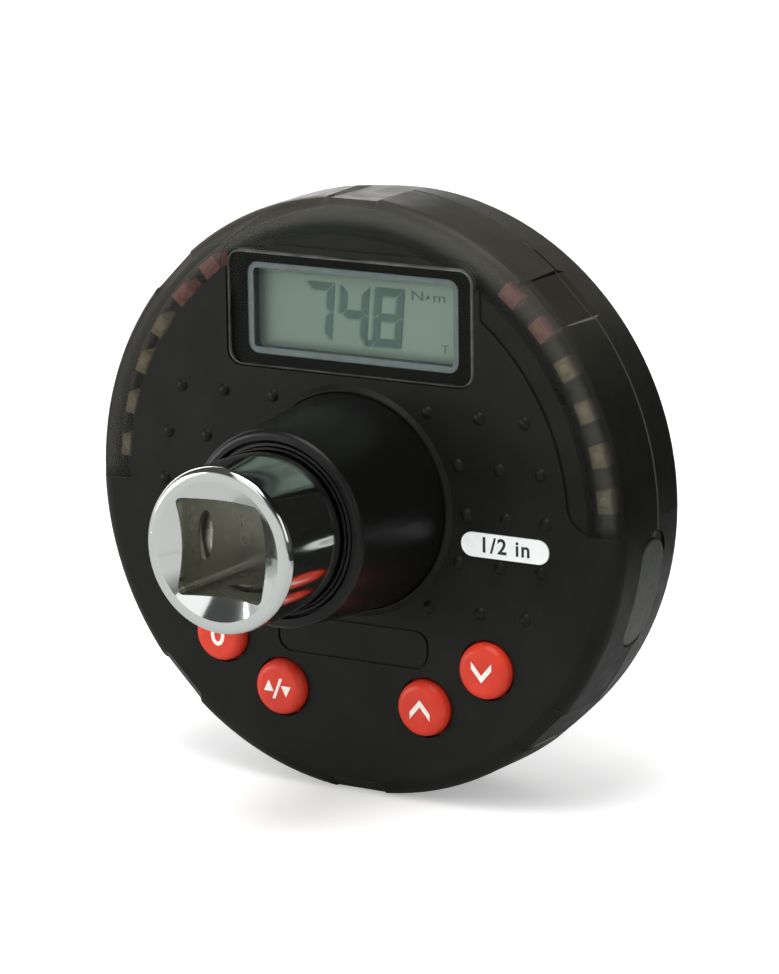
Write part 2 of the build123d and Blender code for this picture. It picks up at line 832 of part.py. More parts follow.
# Rubber plug of the port, its face following the rim
plug_floor = case_radius - port_recess
with BuildPart() as plug:
    with BuildSketch(port_plane(plug_floor)):
        # The gap for a fingernail is at the plug's upper end
        with Locations((-port_nail_gap / 2, 0)):
            SlotOverall(port_length - 2 * port_play - port_nail_gap, port_width - 2 * port_play)
    extrude(amount=port_recess + cut_room)
    with BuildSketch(facing(panel_y)):
        Circle(case_radius - port_inset)
    extrude(amount=-case_length, mode=Mode.INTERSECT)
    fillet(plug.faces().sort_by(SortBy.AREA)[-1].edges(), port_inset)
    with BuildSketch(port_plane(plug_floor)):
        SlotOverall(port_hole_length - 2 * port_play, port_hole_width - 2 * port_play)
    extrude(amount=-(rim_wall - port_recess + port_plug_bite))
plug.part.label = "port_plug"
export_step(plug.part, "parts/port_plug.step")

# Jack behind the plug, on the back of the board
jack_face = rim_inside - port_plug_bite - jack_gap
with BuildPart() as jack:
    with BuildSketch(port_plane(jack_face)):
        with Locations((0, 0)):
            Rectangle(jack_width, jack_height)
    extrude(amount=-jack_length)
    with BuildSketch(port_plane(jack_face)):
        Circle(jack_bore)
    extrude(amount=-jack_length * 0.8, mode=Mode.SUBTRACT)
jack.part.label = "port_jack"
export_step(jack.part, "parts/port_jack.step")

# Opaque sheet behind the front wall, open at the light band
with BuildPart() as mask:
    with BuildSketch(facing(inside_y)) as sheet:
        Circle(rim_inside - inner_round - mask_play)
        Circle(sleeve_flange_radius + mask_play, mode=Mode.SUBTRACT)
        with BuildSketch(mode=Mode.SUBTRACT):
            Circle(case_radius)
            Circle(band_radius, mode=Mode.SUBTRACT)
            below(band_end)
        with Locations((0, display_z - lcd_frame_width / 2 - mask_play)):
            Rectangle(
                lcd_frame_length + 2 * mask_play,
                case_radius,
                align=(Align.CENTER, Align.MIN),
                mode=Mode.SUBTRACT,
            )
        with Locations(*button_places):
            Circle(button_radius + button_flange_width + mask_play, mode=Mode.SUBTRACT)
        with Locations(*board_boss_places):
            Circle(board_boss_radius + fit_play, mode=Mode.SUBTRACT)
        with Locations(*post_places):
            Circle(front_post_radius + fit_play, mode=Mode.SUBTRACT)
    extrude(amount=-mask_thickness)
mask.part.label = "inner_mask"
export_step(mask.part, "parts/inner_mask.step")

# Display: clear window, black printed border, module frame, glass and its rubber contacts
with BuildPart() as window:
    with BuildSketch(facing(panel_y)):
        with Locations((0, display_z)):
            RectangleRounded(
                window_length - 2 * window_play,
                window_width - 2 * window_play,
                window_corner - window_play,
            )
    extrude(amount=-window_thickness)
    chamfer(window.faces().sort_by(Axis.Y)[0].edges(), window_chamfer)
window.part.label = "display_window"
export_step(window.part, "parts/display_window.step")

with BuildPart() as border:
    with BuildSketch(facing(panel_y + window_thickness)):
        with Locations((0, display_z)):
            RectangleRounded(
                window_length - 2 * window_play,
                window_width - 2 * window_play,
                window_corner - window_play,
            )
            RectangleRounded(clear_length, clear_width, border_corner, mode=Mode.SUBTRACT)
    extrude(amount=-border_thickness)
border.part.label = "window_border"
export_step(border.part, "parts/window_border.step")

lcd_y = panel_y + window_thickness + border_thickness + display_gap
glass_y = lcd_y + lcd_lip
glass_length = lcd_frame_length - 2 * glass_margin
glass_width = lcd_frame_width - 2 * glass_margin
with BuildPart() as lcd_frame:
    with BuildSketch(facing(lcd_y)):
        with Locations((0, display_z)):
            RectangleRounded(lcd_frame_length, lcd_frame_width, lcd_frame_corner)
            RectangleRounded(lcd_open_length, lcd_open_width, lcd_open_corner, mode=Mode.SUBTRACT)
    extrude(amount=lcd_y - board_y)
    with BuildSketch(facing(glass_y)):
        with Locations((0, display_z)):
            Rectangle(glass_length + 2 * glass_play, glass_width + 2 * glass_play)
    extrude(amount=glass_y - board_y, mode=Mode.SUBTRACT)
lcd_frame.part.label = "lcd_frame"
export_step(lcd_frame.part, "parts/lcd_frame.step")

with BuildPart() as glass:
    with BuildSketch(facing(glass_y)):
        with Locations((0, display_z)):
            Rectangle(glass_length, glass_width)
    extrude(amount=-glass_thickness)
glass.part.label = "lcd_glass"
export_step(glass.part, "parts/lcd_glass.step")

with BuildPart() as contacts:
    with BuildSketch(facing(glass_y + glass_thickness)):
        for side in (1, -1):
            with Locations((0, display_z + side * (glass_width - contact_width) / 2)):
                Rectangle(glass_length - 2 * contact_width, contact_width)
    extrude(amount=glass_y + glass_thickness - board_y)
contacts.part.label = "display_contact_strips"
export_step(contacts.part, "parts/display_contact_strips.step")

# Bare plate on the panel
with BuildPart() as plate:
    with BuildSketch(facing(panel_y + plate_inset)):
        with Locations((plate_x, plate_z)):
            SlotOverall(plate_length, plate_width)
    extrude(amount=plate_inset + plate_reach)
plate.part.label = "label_plate"
export_step(plate.part, "parts/label_plate.step")

# Board
with BuildPart() as board:
    with BuildSketch(facing(board_y)):
        Circle(board_radius)
        Circle(sleeve_skirt_radius + board_hole_play, mode=Mode.SUBTRACT)
        with Locations(*post_places):
            Circle(front_post_radius + screw_play, mode=Mode.SUBTRACT)
        with Locations(*board_boss_places):
            Circle(board_screw_radius + screw_play, mode=Mode.SUBTRACT)
    extrude(amount=-board_thickness)
board.part.label = "main_board"
export_step(board.part, "parts/main_board.step")

board_screws = screw(
    board_screw_radius,
    board_screw_bite + board_thickness,
    board_head_radius,
    board_head,
    board_back_y,
    board_boss_places,
)
board_screws.label = "board_screws"
export_step(board_screws, "parts/board_screws.step")


def lights(angles):
    """Block lights on the front of the board, the same on both sides."""
    with BuildPart() as group:
        for angle in angles + [180 - a for a in angles]:
            with BuildSketch(facing(board_y)):
                with Locations(on_circle(light_radius, angle)):
                    Rectangle(light_width, light_length, rotation=angle)
            extrude(amount=light_height)
    return group.part


red_lights = lights(red_light_angles)
red_lights.label = "red_lights"
export_step(red_lights, "parts/red_lights.step")

amber_lights = lights(amber_light_angles)
amber_lights.label = "amber_lights"
export_step(amber_lights, "parts/amber_lights.step")

with BuildPart() as chips:
    for (length, width, height), place in zip(chip_sizes, chip_places):
        with BuildSketch(facing(board_back_y)):
            with Locations(place):
                Rectangle(length, width)
        extrude(amount=-height)
chips.part.label = "circuit_chips"
export_step(chips.part, "parts/circuit_chips.step")

with BuildPart() as buzzer:
    with BuildSketch(facing(board_back_y)):
        with Locations((0, buzzer_z)):
            Circle(buzzer_radius)
    extrude(amount=-buzzer_height)
    fillet(buzzer.edges().filter_by(GeomType.CIRCLE).group_by(Axis.Y)[-1], buzzer_hole / 2)
    with BuildSketch(facing(board_back_y + buzzer_height)):
        with Locations((0, buzzer_z)):
            Circle(buzzer_hole)
    extrude(amount=buzzer_height / 2, mode=Mode.SUBTRACT)
buzzer.part.label = "buzzer"
export_step(buzzer.part, "parts/buzzer.step")

# Tactile switches, their plungers and the buttons that press them
with BuildPart() as switches:
    with BuildSketch(facing(board_y)):
        with Locations(*button_places):
            Rectangle(switch_side, switch_side)
    extrude(amount=switch_height)
    with BuildSketch(facing(switch_y)):
        with Locations(*button_places):
            Circle(plunger_radius + plunger_play)
    extrude(amount=-(plunger_seat + button_travel + plunger_rest), mode=Mode.SUBTRACT)
switches.part.label = "tact_switches"
export_step(switches.part, "parts/tact_switches.step")

plunger_length = switch_y - plunger_y + plunger_seat
for name, angle in button_angles.items():
    place = on_circle(button_circle, angle)
    with BuildPart() as plunger:
        with BuildSketch(facing(plunger_y)):
            with Locations(place):
                Circle(plunger_radius)
        extrude(amount=-plunger_length)
    plunger.part.label = "switch_plunger_" + name
    export_step(plunger.part, "parts/switch_plunger_" + name + ".step")

    with BuildPart() as button:
        with BuildSketch(facing(inside_y)):
            with Locations(place):
                Circle(button_radius)
        extrude(amount=front_wall + button_reach)
        fillet(button.faces().sort_by(Axis.Y)[0].edges(), button_round)
        with BuildSketch(facing(inside_y)):
            with Locations(place):
                Circle(button_radius + button_flange_width)
        extrude(amount=-button_flange)
        with BuildSketch(facing(inside_y + button_flange)):
            with Locations(place):
                Circle(button_radius - button_wall)
        extrude(amount=button_flange + front_wall + button_reach - 2 * button_wall, mode=Mode.SUBTRACT)
        with BuildSketch(facing(plunger_y)):
            with Locations(place):
                Circle(button_stem_radius)
        extrude(amount=plunger_y - panel_y + button_reach - button_wall)
    button.part.label = "button_" + name
    export_step(button.part, "parts/button_" + name + ".step")

# Strain gauges on the shaft's flats and the ribbon to the board
pad_length, pad_width, pad_height = gauge_pad
pad_y = (head_end_y + collar_y) / 2
with BuildPart() as gauges:
    for side in (1, -1):
        with BuildSketch(Plane.XY.offset(side * gauge_square / 2)):
            with Locations((0, pad_y)):
                Rectangle(pad_length, pad_width)
        extrude(amount=side * pad_height)
gauges.part.label = "strain_gauges"
export_step(gauges.part, "parts/strain_gauges.step")

flex_low = gauge_square / 2 + pad_height
flex_out = sleeve_skirt_radius + board_hole_play + flex_thickness
with BuildPart() as flex:
    with BuildSketch(Plane.YZ.offset(-flex_width / 2)):
        with BuildLine():
            Polyline(
                (pad_y - pad_width / 2, flex_low),
                (pad_y + flex_thickness, flex_low),
                (pad_y + flex_thickness, flex_out),
                (board_back_y + flex_thickness, flex_out),
                (board_back_y + flex_thickness, flex_out + flex_foot),
                (board_back_y, flex_out + flex_foot),
                (board_back_y, flex_out - flex_thickness),
                (pad_y, flex_out - flex_thickness),
                (pad_y, flex_low + flex_thickness),
                (pad_y - pad_width / 2, flex_low + flex_thickness),
                close=True,
            )
        make_face()
    extrude(amount=flex_width)
flex.part.label = "gauge_ribbon"
export_step(flex.part, "parts/gauge_ribbon.step")

# Rear bush, with its flange inside the case, and the split ring that holds the shaft in it
with BuildPart() as bush:
    add(tube(bush_radius, bush_bore, bush_front_y, hub_back_y))
    add(tube(bush_radius + bush_flange_width, bush_bore, bush_front_y, hub_front_y))
bush.part.label = "rear_bush"
export_step(bush.part, "parts/rear_bush.step")

with BuildPart() as ring:
    ring_inner = journal_radius - ring_groove + fit_play
    add(tube(journal_radius + ring_width, ring_inner, hub_back_y, hub_back_y + ring_thickness))
    slot_width = 2 * journal_radius * sin(radians(ring_slot / 2))
    with BuildSketch(facing(hub_back_y)):
        with Locations((0, 0)):
            Rectangle(slot_width, 2 * case_radius, align=(Align.CENTER, Align.MAX))
    extrude(amount=-2 * ring_thickness, mode=Mode.SUBTRACT)
ring.part.label = "retaining_ring"
export_step(ring.part, "parts/retaining_ring.step")

# Cover screws, driven from the back
cover_screws = screw(
    cover_screw_radius,
    cover_seat_y - post_y + cover_screw_bite,
    cover_head_radius,
    cover_head,
    cover_seat_y,
    post_places,
)
cover_screws.label = "cover_screws"
export_step(cover_screws, "parts/cover_screws.step")

# Battery cells with their spring and plate contacts, and the doors with their captive screws
for name, side in (("right", 1), ("left", -1)):
    cell_body = cell_length - cell_nub
    with BuildPart() as cell:
        with BuildSketch(Plane.XY.offset(cell_low_z)):
            with Locations((side * cell_x, cell_y)):
                Circle(cell_radius)
        extrude(amount=cell_body)
        fillet(cell.edges().filter_by(GeomType.CIRCLE), cell_radius * 0.1)
        with BuildSketch(Plane.XY.offset(cell_low_z + cell_body)):
            with Locations((side * cell_x, cell_y)):
                Circle(cell_nub_radius)
        extrude(amount=cell_nub)
    cell.part.label = "battery_cell_" + name
    export_step(cell.part, "parts/battery_cell_" + name + ".step")

    recess_plane = Plane(origin=(0, door_y, 0), x_dir=(side, 0, 0), z_dir=(0, -side, 0))
    screw_places = [(side * door_screw_x, sz * door_screw_z) for sz in (1, -1)]
    door_seat_y = back_y - door_head
    with BuildPart() as door:
        with BuildSketch(recess_plane) as outline:
            door_outline(0)
            fillet(outline.vertices(), door_corner)
        extrude(amount=-side * door_thickness)
        with BuildSketch(facing(door_y)):
            with Locations(*screw_places):
                Circle(door_screw_radius + screw_play)
        extrude(amount=-door_thickness, mode=Mode.SUBTRACT)
        with BuildSketch(facing(door_seat_y)):
            with Locations(*screw_places):
                Circle(door_head_radius + head_play)
        extrude(amount=-door_thickness, mode=Mode.SUBTRACT)
    door.part.label = "battery_door_" + name
    export_step(door.part, "parts/battery_door_" + name + ".step")

    door_screws = screw(
        door_screw_radius,
        door_screw_length - cut_room,
        door_head_radius,
        door_head,
        door_seat_y,
        screw_places,
    )
    door_screws.label = "door_screws_" + name
    export_step(door_screws, "parts/door_screws_" + name + ".step")

with BuildPart() as cell_springs:
    for side in (1, -1):
        with BuildLine():
            turn = Helix(
                pitch=(cell_spring - 2 * cell_spring_wire) / cell_spring_turns,
                height=cell_spring - 2 * cell_spring_wire,
                radius=cell_spring_base,
                center=(side * cell_x, cell_y, cell_low_z - cell_spring + cell_spring_wire),
            )
        with BuildSketch(Plane(origin=turn @ 0, z_dir=turn % 0)):
            Circle(cell_spring_wire)
        sweep(path=turn, is_frenet=True)
cell_springs.part.label = "battery_springs"
export_step(cell_springs.part, "parts/battery_springs.step")

with BuildPart() as plates:
    for end_z in (-bay_length / 2, bay_length / 2 - contact_plate):
        with BuildSketch(Plane.XY.offset(end_z)):
            with Locations((cell_x, cell_y), (-cell_x, cell_y)):
                Rectangle(contact_plate_width, contact_plate_width)
        extrude(amount=contact_plate)
plates.part.label = "battery_contact_plates"
export_step(plates.part, "parts/battery_contact_plates.step")
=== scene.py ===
# %% [markdown]
# # A digital torque adapter
# The adapter sits between a wrench and a socket and shows the torque that passes through it.
# A chromed drive shaft runs through a round housing of smoked black plastic, with a display,
# four red buttons, a band of lights and two battery bays. The shapes come from a CAD model, so
# this file dresses them: it adds what is printed or too small for CAD, and gives every piece
# the finish of its real material.

# %% Load the CAD model as a fixed frame
import math

import bmesh
import bpy
from mathutils import Matrix, Vector


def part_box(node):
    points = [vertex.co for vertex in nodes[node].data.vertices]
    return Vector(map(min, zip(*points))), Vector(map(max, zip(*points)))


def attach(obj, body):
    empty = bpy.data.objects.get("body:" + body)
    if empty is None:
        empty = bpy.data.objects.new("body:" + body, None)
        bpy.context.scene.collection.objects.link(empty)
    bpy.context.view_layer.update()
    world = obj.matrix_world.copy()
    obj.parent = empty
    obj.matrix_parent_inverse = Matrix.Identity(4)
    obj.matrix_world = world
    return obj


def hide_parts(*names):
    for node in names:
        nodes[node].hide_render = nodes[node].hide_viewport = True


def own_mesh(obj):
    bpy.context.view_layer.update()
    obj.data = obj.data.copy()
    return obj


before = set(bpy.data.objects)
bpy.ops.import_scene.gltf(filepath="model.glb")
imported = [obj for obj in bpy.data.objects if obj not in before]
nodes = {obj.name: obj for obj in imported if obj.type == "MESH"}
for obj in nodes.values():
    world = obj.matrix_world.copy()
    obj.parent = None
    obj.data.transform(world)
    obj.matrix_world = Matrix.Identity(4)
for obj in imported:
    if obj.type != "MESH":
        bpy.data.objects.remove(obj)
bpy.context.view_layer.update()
mm = 0.001

# %% [markdown]
# Every place below is read from the CAD model, so a printed mark stays on its button even if
# the button moves in a later version. The drive axis is Y, the panel faces -Y and up is +Z.

# %% Read the places that the added pieces need
def middle(node):
    """Centre of a CAD piece's box."""
    low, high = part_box(node)
    return (low + high) / 2


panel_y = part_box("display_window")[0].y
glass_front_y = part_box("lcd_glass")[0].y
plate_front_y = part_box("label_plate")[0].y
back_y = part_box("battery_door_right")[1].y
display_z = middle("lcd_glass").z
floor_z = min(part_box("front_cover")[0].z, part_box("rear_cover")[0].z)
print("panel at y", round(panel_y, 5), "floor at z", round(floor_z, 5))

# %% [markdown]
# ## The camera
# The photograph was taken with a long lens, a little from the right and from above. The
# numbers of the view were found by matching the rims, the buttons and the square to the
# photograph: two angles, a small roll, the distance, the focal length, and a small shift of
# the aim to the right and up.

# %% Put the camera where the photograph was taken
view_azimuth = math.radians(31.31)
view_elevation = math.radians(12.98)
view_roll = math.radians(0.75)
view_distance = 597.95 * mm
aim_right, aim_up = 5.23 * mm, 1.84 * mm
frame_height_px, focal_px, sensor_mm = 974, 4446.55, 36.0

back = Vector((
    math.sin(view_azimuth) * math.cos(view_elevation),
    -math.cos(view_azimuth) * math.cos(view_elevation),
    math.sin(view_elevation),
))
level = Vector((math.cos(view_azimuth), math.sin(view_azimuth), 0))
upright = back.cross(level)
right = level * math.cos(view_roll) - upright * math.sin(view_roll)
top = level * math.sin(view_roll) + upright * math.cos(view_roll)
eye = Vector((0, panel_y, 0)) + right * aim_right + top * aim_up + back * view_distance
lens = bpy.data.cameras.new("photo_camera")
lens.sensor_width = sensor_mm
lens.lens = focal_px * sensor_mm / frame_height_px
camera = bpy.data.objects.new("photo_camera", lens)
camera.matrix_world = Matrix.Translation(eye) @ Matrix((right, top, back)).transposed().to_4x4()
bpy.context.scene.collection.objects.link(camera)
bpy.context.scene.camera = camera
bpy.context.scene.view_settings.view_transform = "Standard"
print("camera at", [round(v, 3) for v in eye], "lens", round(lens.lens, 1), "mm")

# %% [markdown]
# ## Two helpers for every node tree
# Colours are picked as sRGB hex values, because that is what a colour picker on a photograph
# gives, but shaders work in linear light, so one function converts them. The other function
# adds a node with its options and its links, for materials and Geometry Nodes alike.

# %% Helpers for colours and nodes
def linear(code):
    """Linear colour of an sRGB hex code such as #DB4A33."""
    parts = [int(code[i:i + 2], 16) / 255 for i in (1, 3, 5)]
    return [p / 12.92 if p <= 0.04045 else ((p + 0.055) / 1.055) ** 2.4 for p in parts] + [1.0]


def add_node(tree, kind, inputs=(), **options):
    """Adds one node. Its inputs are values or other nodes' outputs, and options are its settings."""
    made = tree.nodes.new(kind)
    for name, value in options.items():
        setattr(made, name, value)
    for name, value in dict(inputs).items():
        if isinstance(value, bpy.types.NodeSocket):
            tree.links.new(value, made.inputs[name])
        else:
            made.inputs[name].default_value = value
    return made


print("red of the buttons in linear light:", [round(v, 3) for v in linear("#DB4A33")])

# %% [markdown]
# ## Light
# The object stands in plain soft studio light: a large lamp overhead, one at the left, and
# weaker ones in front, at the right and behind. All are far larger than the object, so that
# edges on the dark plastic are soft. The one in front is what the cone round the square
# mirrors as a bright patch. The world is white where a camera or glass ray meets it, as the
# paper sweep of a product photograph is, and only gently lit for everything else. A mirror
# shows the same white paper in front and at the left, but the dark studio above the lamps and
# at the far right: without that dark, chrome has nothing to be bright against and looks like
# white paint.

# %% Make the world and the lamps
to_far_right = (0.85, 0.53, 0.0)
world = bpy.data.worlds.new("studio")
bpy.context.scene.world = world
world.use_nodes = True
tree = world.node_tree
tree.nodes.clear()
direction = add_node(tree, "ShaderNodeTexCoord").outputs["Generated"]
height = add_node(tree, "ShaderNodeSeparateXYZ", {"Vector": direction}).outputs["Z"]
below_lamps = add_node(tree, "ShaderNodeMapRange", {
    "Value": height, "From Min": 0.12, "From Max": 0.5, "To Min": 1.0, "To Max": 0.1},
    interpolation_type="SMOOTHSTEP").outputs[0]
rightness = add_node(tree, "ShaderNodeVectorMath", {
    0: direction, 1: to_far_right}, operation="DOT_PRODUCT").outputs["Value"]
in_front = add_node(tree, "ShaderNodeMapRange", {
    "Value": rightness, "From Min": -0.25, "From Max": 0.5, "To Min": 0.95, "To Max": 0.1},
    interpolation_type="SMOOTHSTEP").outputs[0]
mirrored = add_node(tree, "ShaderNodeMath", {
    0: below_lamps, 1: in_front}, operation="MULTIPLY").outputs[0]
rays = add_node(tree, "ShaderNodeLightPath").outputs
lit = add_node(tree, "ShaderNodeMix", {0: rays["Is Glossy Ray"], 2: 0.5, 3: mirrored}).outputs[0]
looked_at = add_node(tree, "ShaderNodeMath", {
    0: rays["Is Camera Ray"], 1: rays["Is Transmission Ray"]}, operation="MAXIMUM").outputs[0]
strength = add_node(tree, "ShaderNodeMath", {0: lit, 1: looked_at}, operation="MAXIMUM").outputs[0]
sky = add_node(tree, "ShaderNodeBackground", {"Color": linear("#FFFFFF"), "Strength": strength})
add_node(tree, "ShaderNodeOutputWorld", {"Surface": sky.outputs[0]})


def soft_lamp(name, place, size, power):
    """A square lamp at a place in metres that points at the middle of the object."""
    lamp = bpy.data.lights.new(name, "AREA")
    lamp.size = size
    lamp.energy = power
    holder = bpy.data.objects.new(name, lamp)
    holder.location = place
    aim = Vector((0, panel_y, 0)) - Vector(place)
    holder.rotation_euler = aim.to_track_quat("-Z", "Y").to_euler()
    bpy.context.scene.collection.objects.link(holder)


soft_lamp("overhead_softbox", (0.05, -0.2, 0.75), size=0.5, power=4.4)
soft_lamp("left_softbox", (-0.75, -0.55, 0.15), size=0.42, power=3.9)
soft_lamp("front_softbox", (-0.08, -0.85, 0.62), size=0.5, power=1.1)
soft_lamp("right_softbox", (0.85, -0.2, 0.35), size=0.5, power=1.1)
soft_lamp("back_softbox", (-0.7, 0.75, 0.3), size=0.6, power=3.0)

# %% [markdown]
# ## Blank materials and shared patterns
# No real surface is one flat colour. Moulded plastic has a spark-eroded texture and faint flow
# mottling, plated metal has wipe marks, and print has a soft edge. `blank_material` starts a
# node tree, and `mottle` gives a soft random value whose blotches have a size in millimetres.
# `rises` and `falls` are masks along a measure. The full value of a mask may be another mask,
# and then the result is the place where both hold.

# %% Helpers for materials
def blank_material(name):
    """An empty node material and its Object coordinates."""
    material = bpy.data.materials.new(name)
    material.use_nodes = True
    material.node_tree.nodes.clear()
    place = add_node(material.node_tree, "ShaderNodeTexCoord").outputs["Object"]
    return material, material.node_tree, place


def mottle(tree, place, size_mm, low, high, detail=3.0):
    """A soft random value between low and high, with blotches about size_mm wide."""
    noise = add_node(tree, "ShaderNodeTexNoise",
                     {"Vector": place, "Scale": 1 / (size_mm * mm), "Detail": detail})
    spread = add_node(tree, "ShaderNodeMapRange", {
        "Value": noise.outputs[0], "From Min": 0.35, "From Max": 0.65, "To Min": low, "To Max": high})
    return spread.outputs[0]


def blend_colours(tree, share, first, second):
    """A colour between two, each a hex code or another node's output."""
    pair = [linear(colour) if isinstance(colour, str) else colour for colour in (first, second)]
    mix = add_node(tree, "ShaderNodeMix", {0: share, 6: pair[0], 7: pair[1]}, data_type="RGBA")
    return mix.outputs[2]


def rises(tree, value, at_mm, soft_mm=0.2, full=1.0, start=0.0):
    """Goes softly from start to full where value passes a place in millimetres."""
    step = add_node(tree, "ShaderNodeMapRange", {
        "Value": value, "From Min": (at_mm - soft_mm) * mm, "From Max": (at_mm + soft_mm) * mm,
        "To Min": start, "To Max": full}, interpolation_type="SMOOTHSTEP")
    return step.outputs[0]


def falls(tree, value, at_mm, soft_mm=0.2, full=1.0):
    """Goes softly from full to 0 where value passes a place in millimetres."""
    return rises(tree, value, at_mm, soft_mm, full=0.0, start=full)


def from_axis(tree, place):
    """Distance of a point from the drive axis, in metres."""
    flat = add_node(tree, "ShaderNodeVectorMath", {0: place, 1: (1, 0, 1)}, operation="MULTIPLY")
    return add_node(tree, "ShaderNodeVectorMath", {0: flat.outputs[0]}, operation="LENGTH").outputs["Value"]


def grain(tree, place, size_mm, depth_mm):
    """A bump whose grains are about size_mm wide and depth_mm deep."""
    noise = add_node(tree, "ShaderNodeTexNoise",
                     {"Vector": place, "Scale": 1 / (size_mm * mm), "Detail": 2.0})
    bump = add_node(tree, "ShaderNodeBump",
                    {"Height": noise.outputs[0], "Distance": depth_mm * mm, "Strength": 1.0})
    return bump.outputs[0]


print("shared patterns are ready")

# %% [markdown]
# ## Moulded plastics
# Most of the pieces are injection-moulded. The mould is spark-eroded, which leaves a fine even
# grain of about a quarter of a millimetre, and the melt flows in with faint mottling. One
# function makes that family, with the colour, gloss and grain of each resin.

# %% The family of moulded plastics
def moulded_plastic(name, colour, shade, roughness, grain_mm=0.3, depth_mm=0.003, specular=0.4):
    """Moulded resin in a colour and a slightly different shade, with eroded grain."""
    flow_mm = 9.0
    material, tree, place = blank_material(name)
    flow = mottle(tree, place, flow_mm, 0.0, 1.0)
    gloss = mottle(tree, place, flow_mm / 4, roughness - 0.04, roughness + 0.04)
    resin = add_node(tree, "ShaderNodeBsdfPrincipled", {
        "Base Color": blend_colours(tree, flow, colour, shade), "Roughness": gloss,
        "Specular IOR Level": specular, "Normal": grain(tree, place, grain_mm, depth_mm)})
    add_node(tree, "ShaderNodeOutputMaterial", {"Surface": resin.outputs[0]})
    return material


sleeve_nylon = moulded_plastic("nylon_black_moulded", "#0B0B0A", "#0F0F0E", 0.36, 0.28, 0.002, 0.24)
bush_acetal = moulded_plastic("acetal_natural_moulded", "#DCD9CC", "#D2CFC0", 0.38, 0.4)
buzzer_pbt = moulded_plastic("PBT_black_moulded", "#141414", "#1B1B1A", 0.5, 0.25)
switch_nylon = moulded_plastic("nylon_grey_moulded", "#6E6F6D", "#7A7B79", 0.45)
mask_film = moulded_plastic("polyester_black_film", "#050505", "#070707", 0.6, 0.5, 0.002, 0.2)
print("plain resins:", sleeve_nylon.name, bush_acetal.name, buzzer_pbt.name)

# %% [markdown]
# The two covers are ABS smoked almost black. Where the opaque sheet lies behind it, the plastic
# looks black. In the light band there is no sheet, so a part of the light passes each face and
# the light blocks show through as pale squares. A mix with a Transparent shader does that without
# refraction, and lamps are let through whole, because shadow rays do not bend in glass. The thick
# shoulder round them is smoked grey and painted paler towards the top, as painted light from the
# lamps above, and a pale band on its upper half is painted light for the lamps' reflection in the
# rounded shoulder and the light scattered in it.

# %% Smoked ABS of the covers
# Radii are measured from the drive axis, depths along Y and heights along Z, in millimetres
band_radius_mm, band_end_mm, shoulder_mm = 33.2, -0.8, 38.4
rim_depth_mm, rim_radius_mm, rear_rim_mm = 36.2, 39.0, 43.2
notch_floor_mm, notch_back_mm, plug_top_mm = 40.94, 44.6, 10.0
lip_radius_mm, wall_foot_mm = 40.9, 40.97
ring_inner_mm, ring_outer_mm, lights_depth_mm, posts_depth_mm = 36.1, 40.3, 35.5, 38.0
shoulder_light_inner_mm, shoulder_light_outer_mm = 37.9, 40.0
top_light_from_mm, top_light_soft_mm, shade_low_mm, shade_high_mm = 24.5, 9.5, 4.0, 12.0


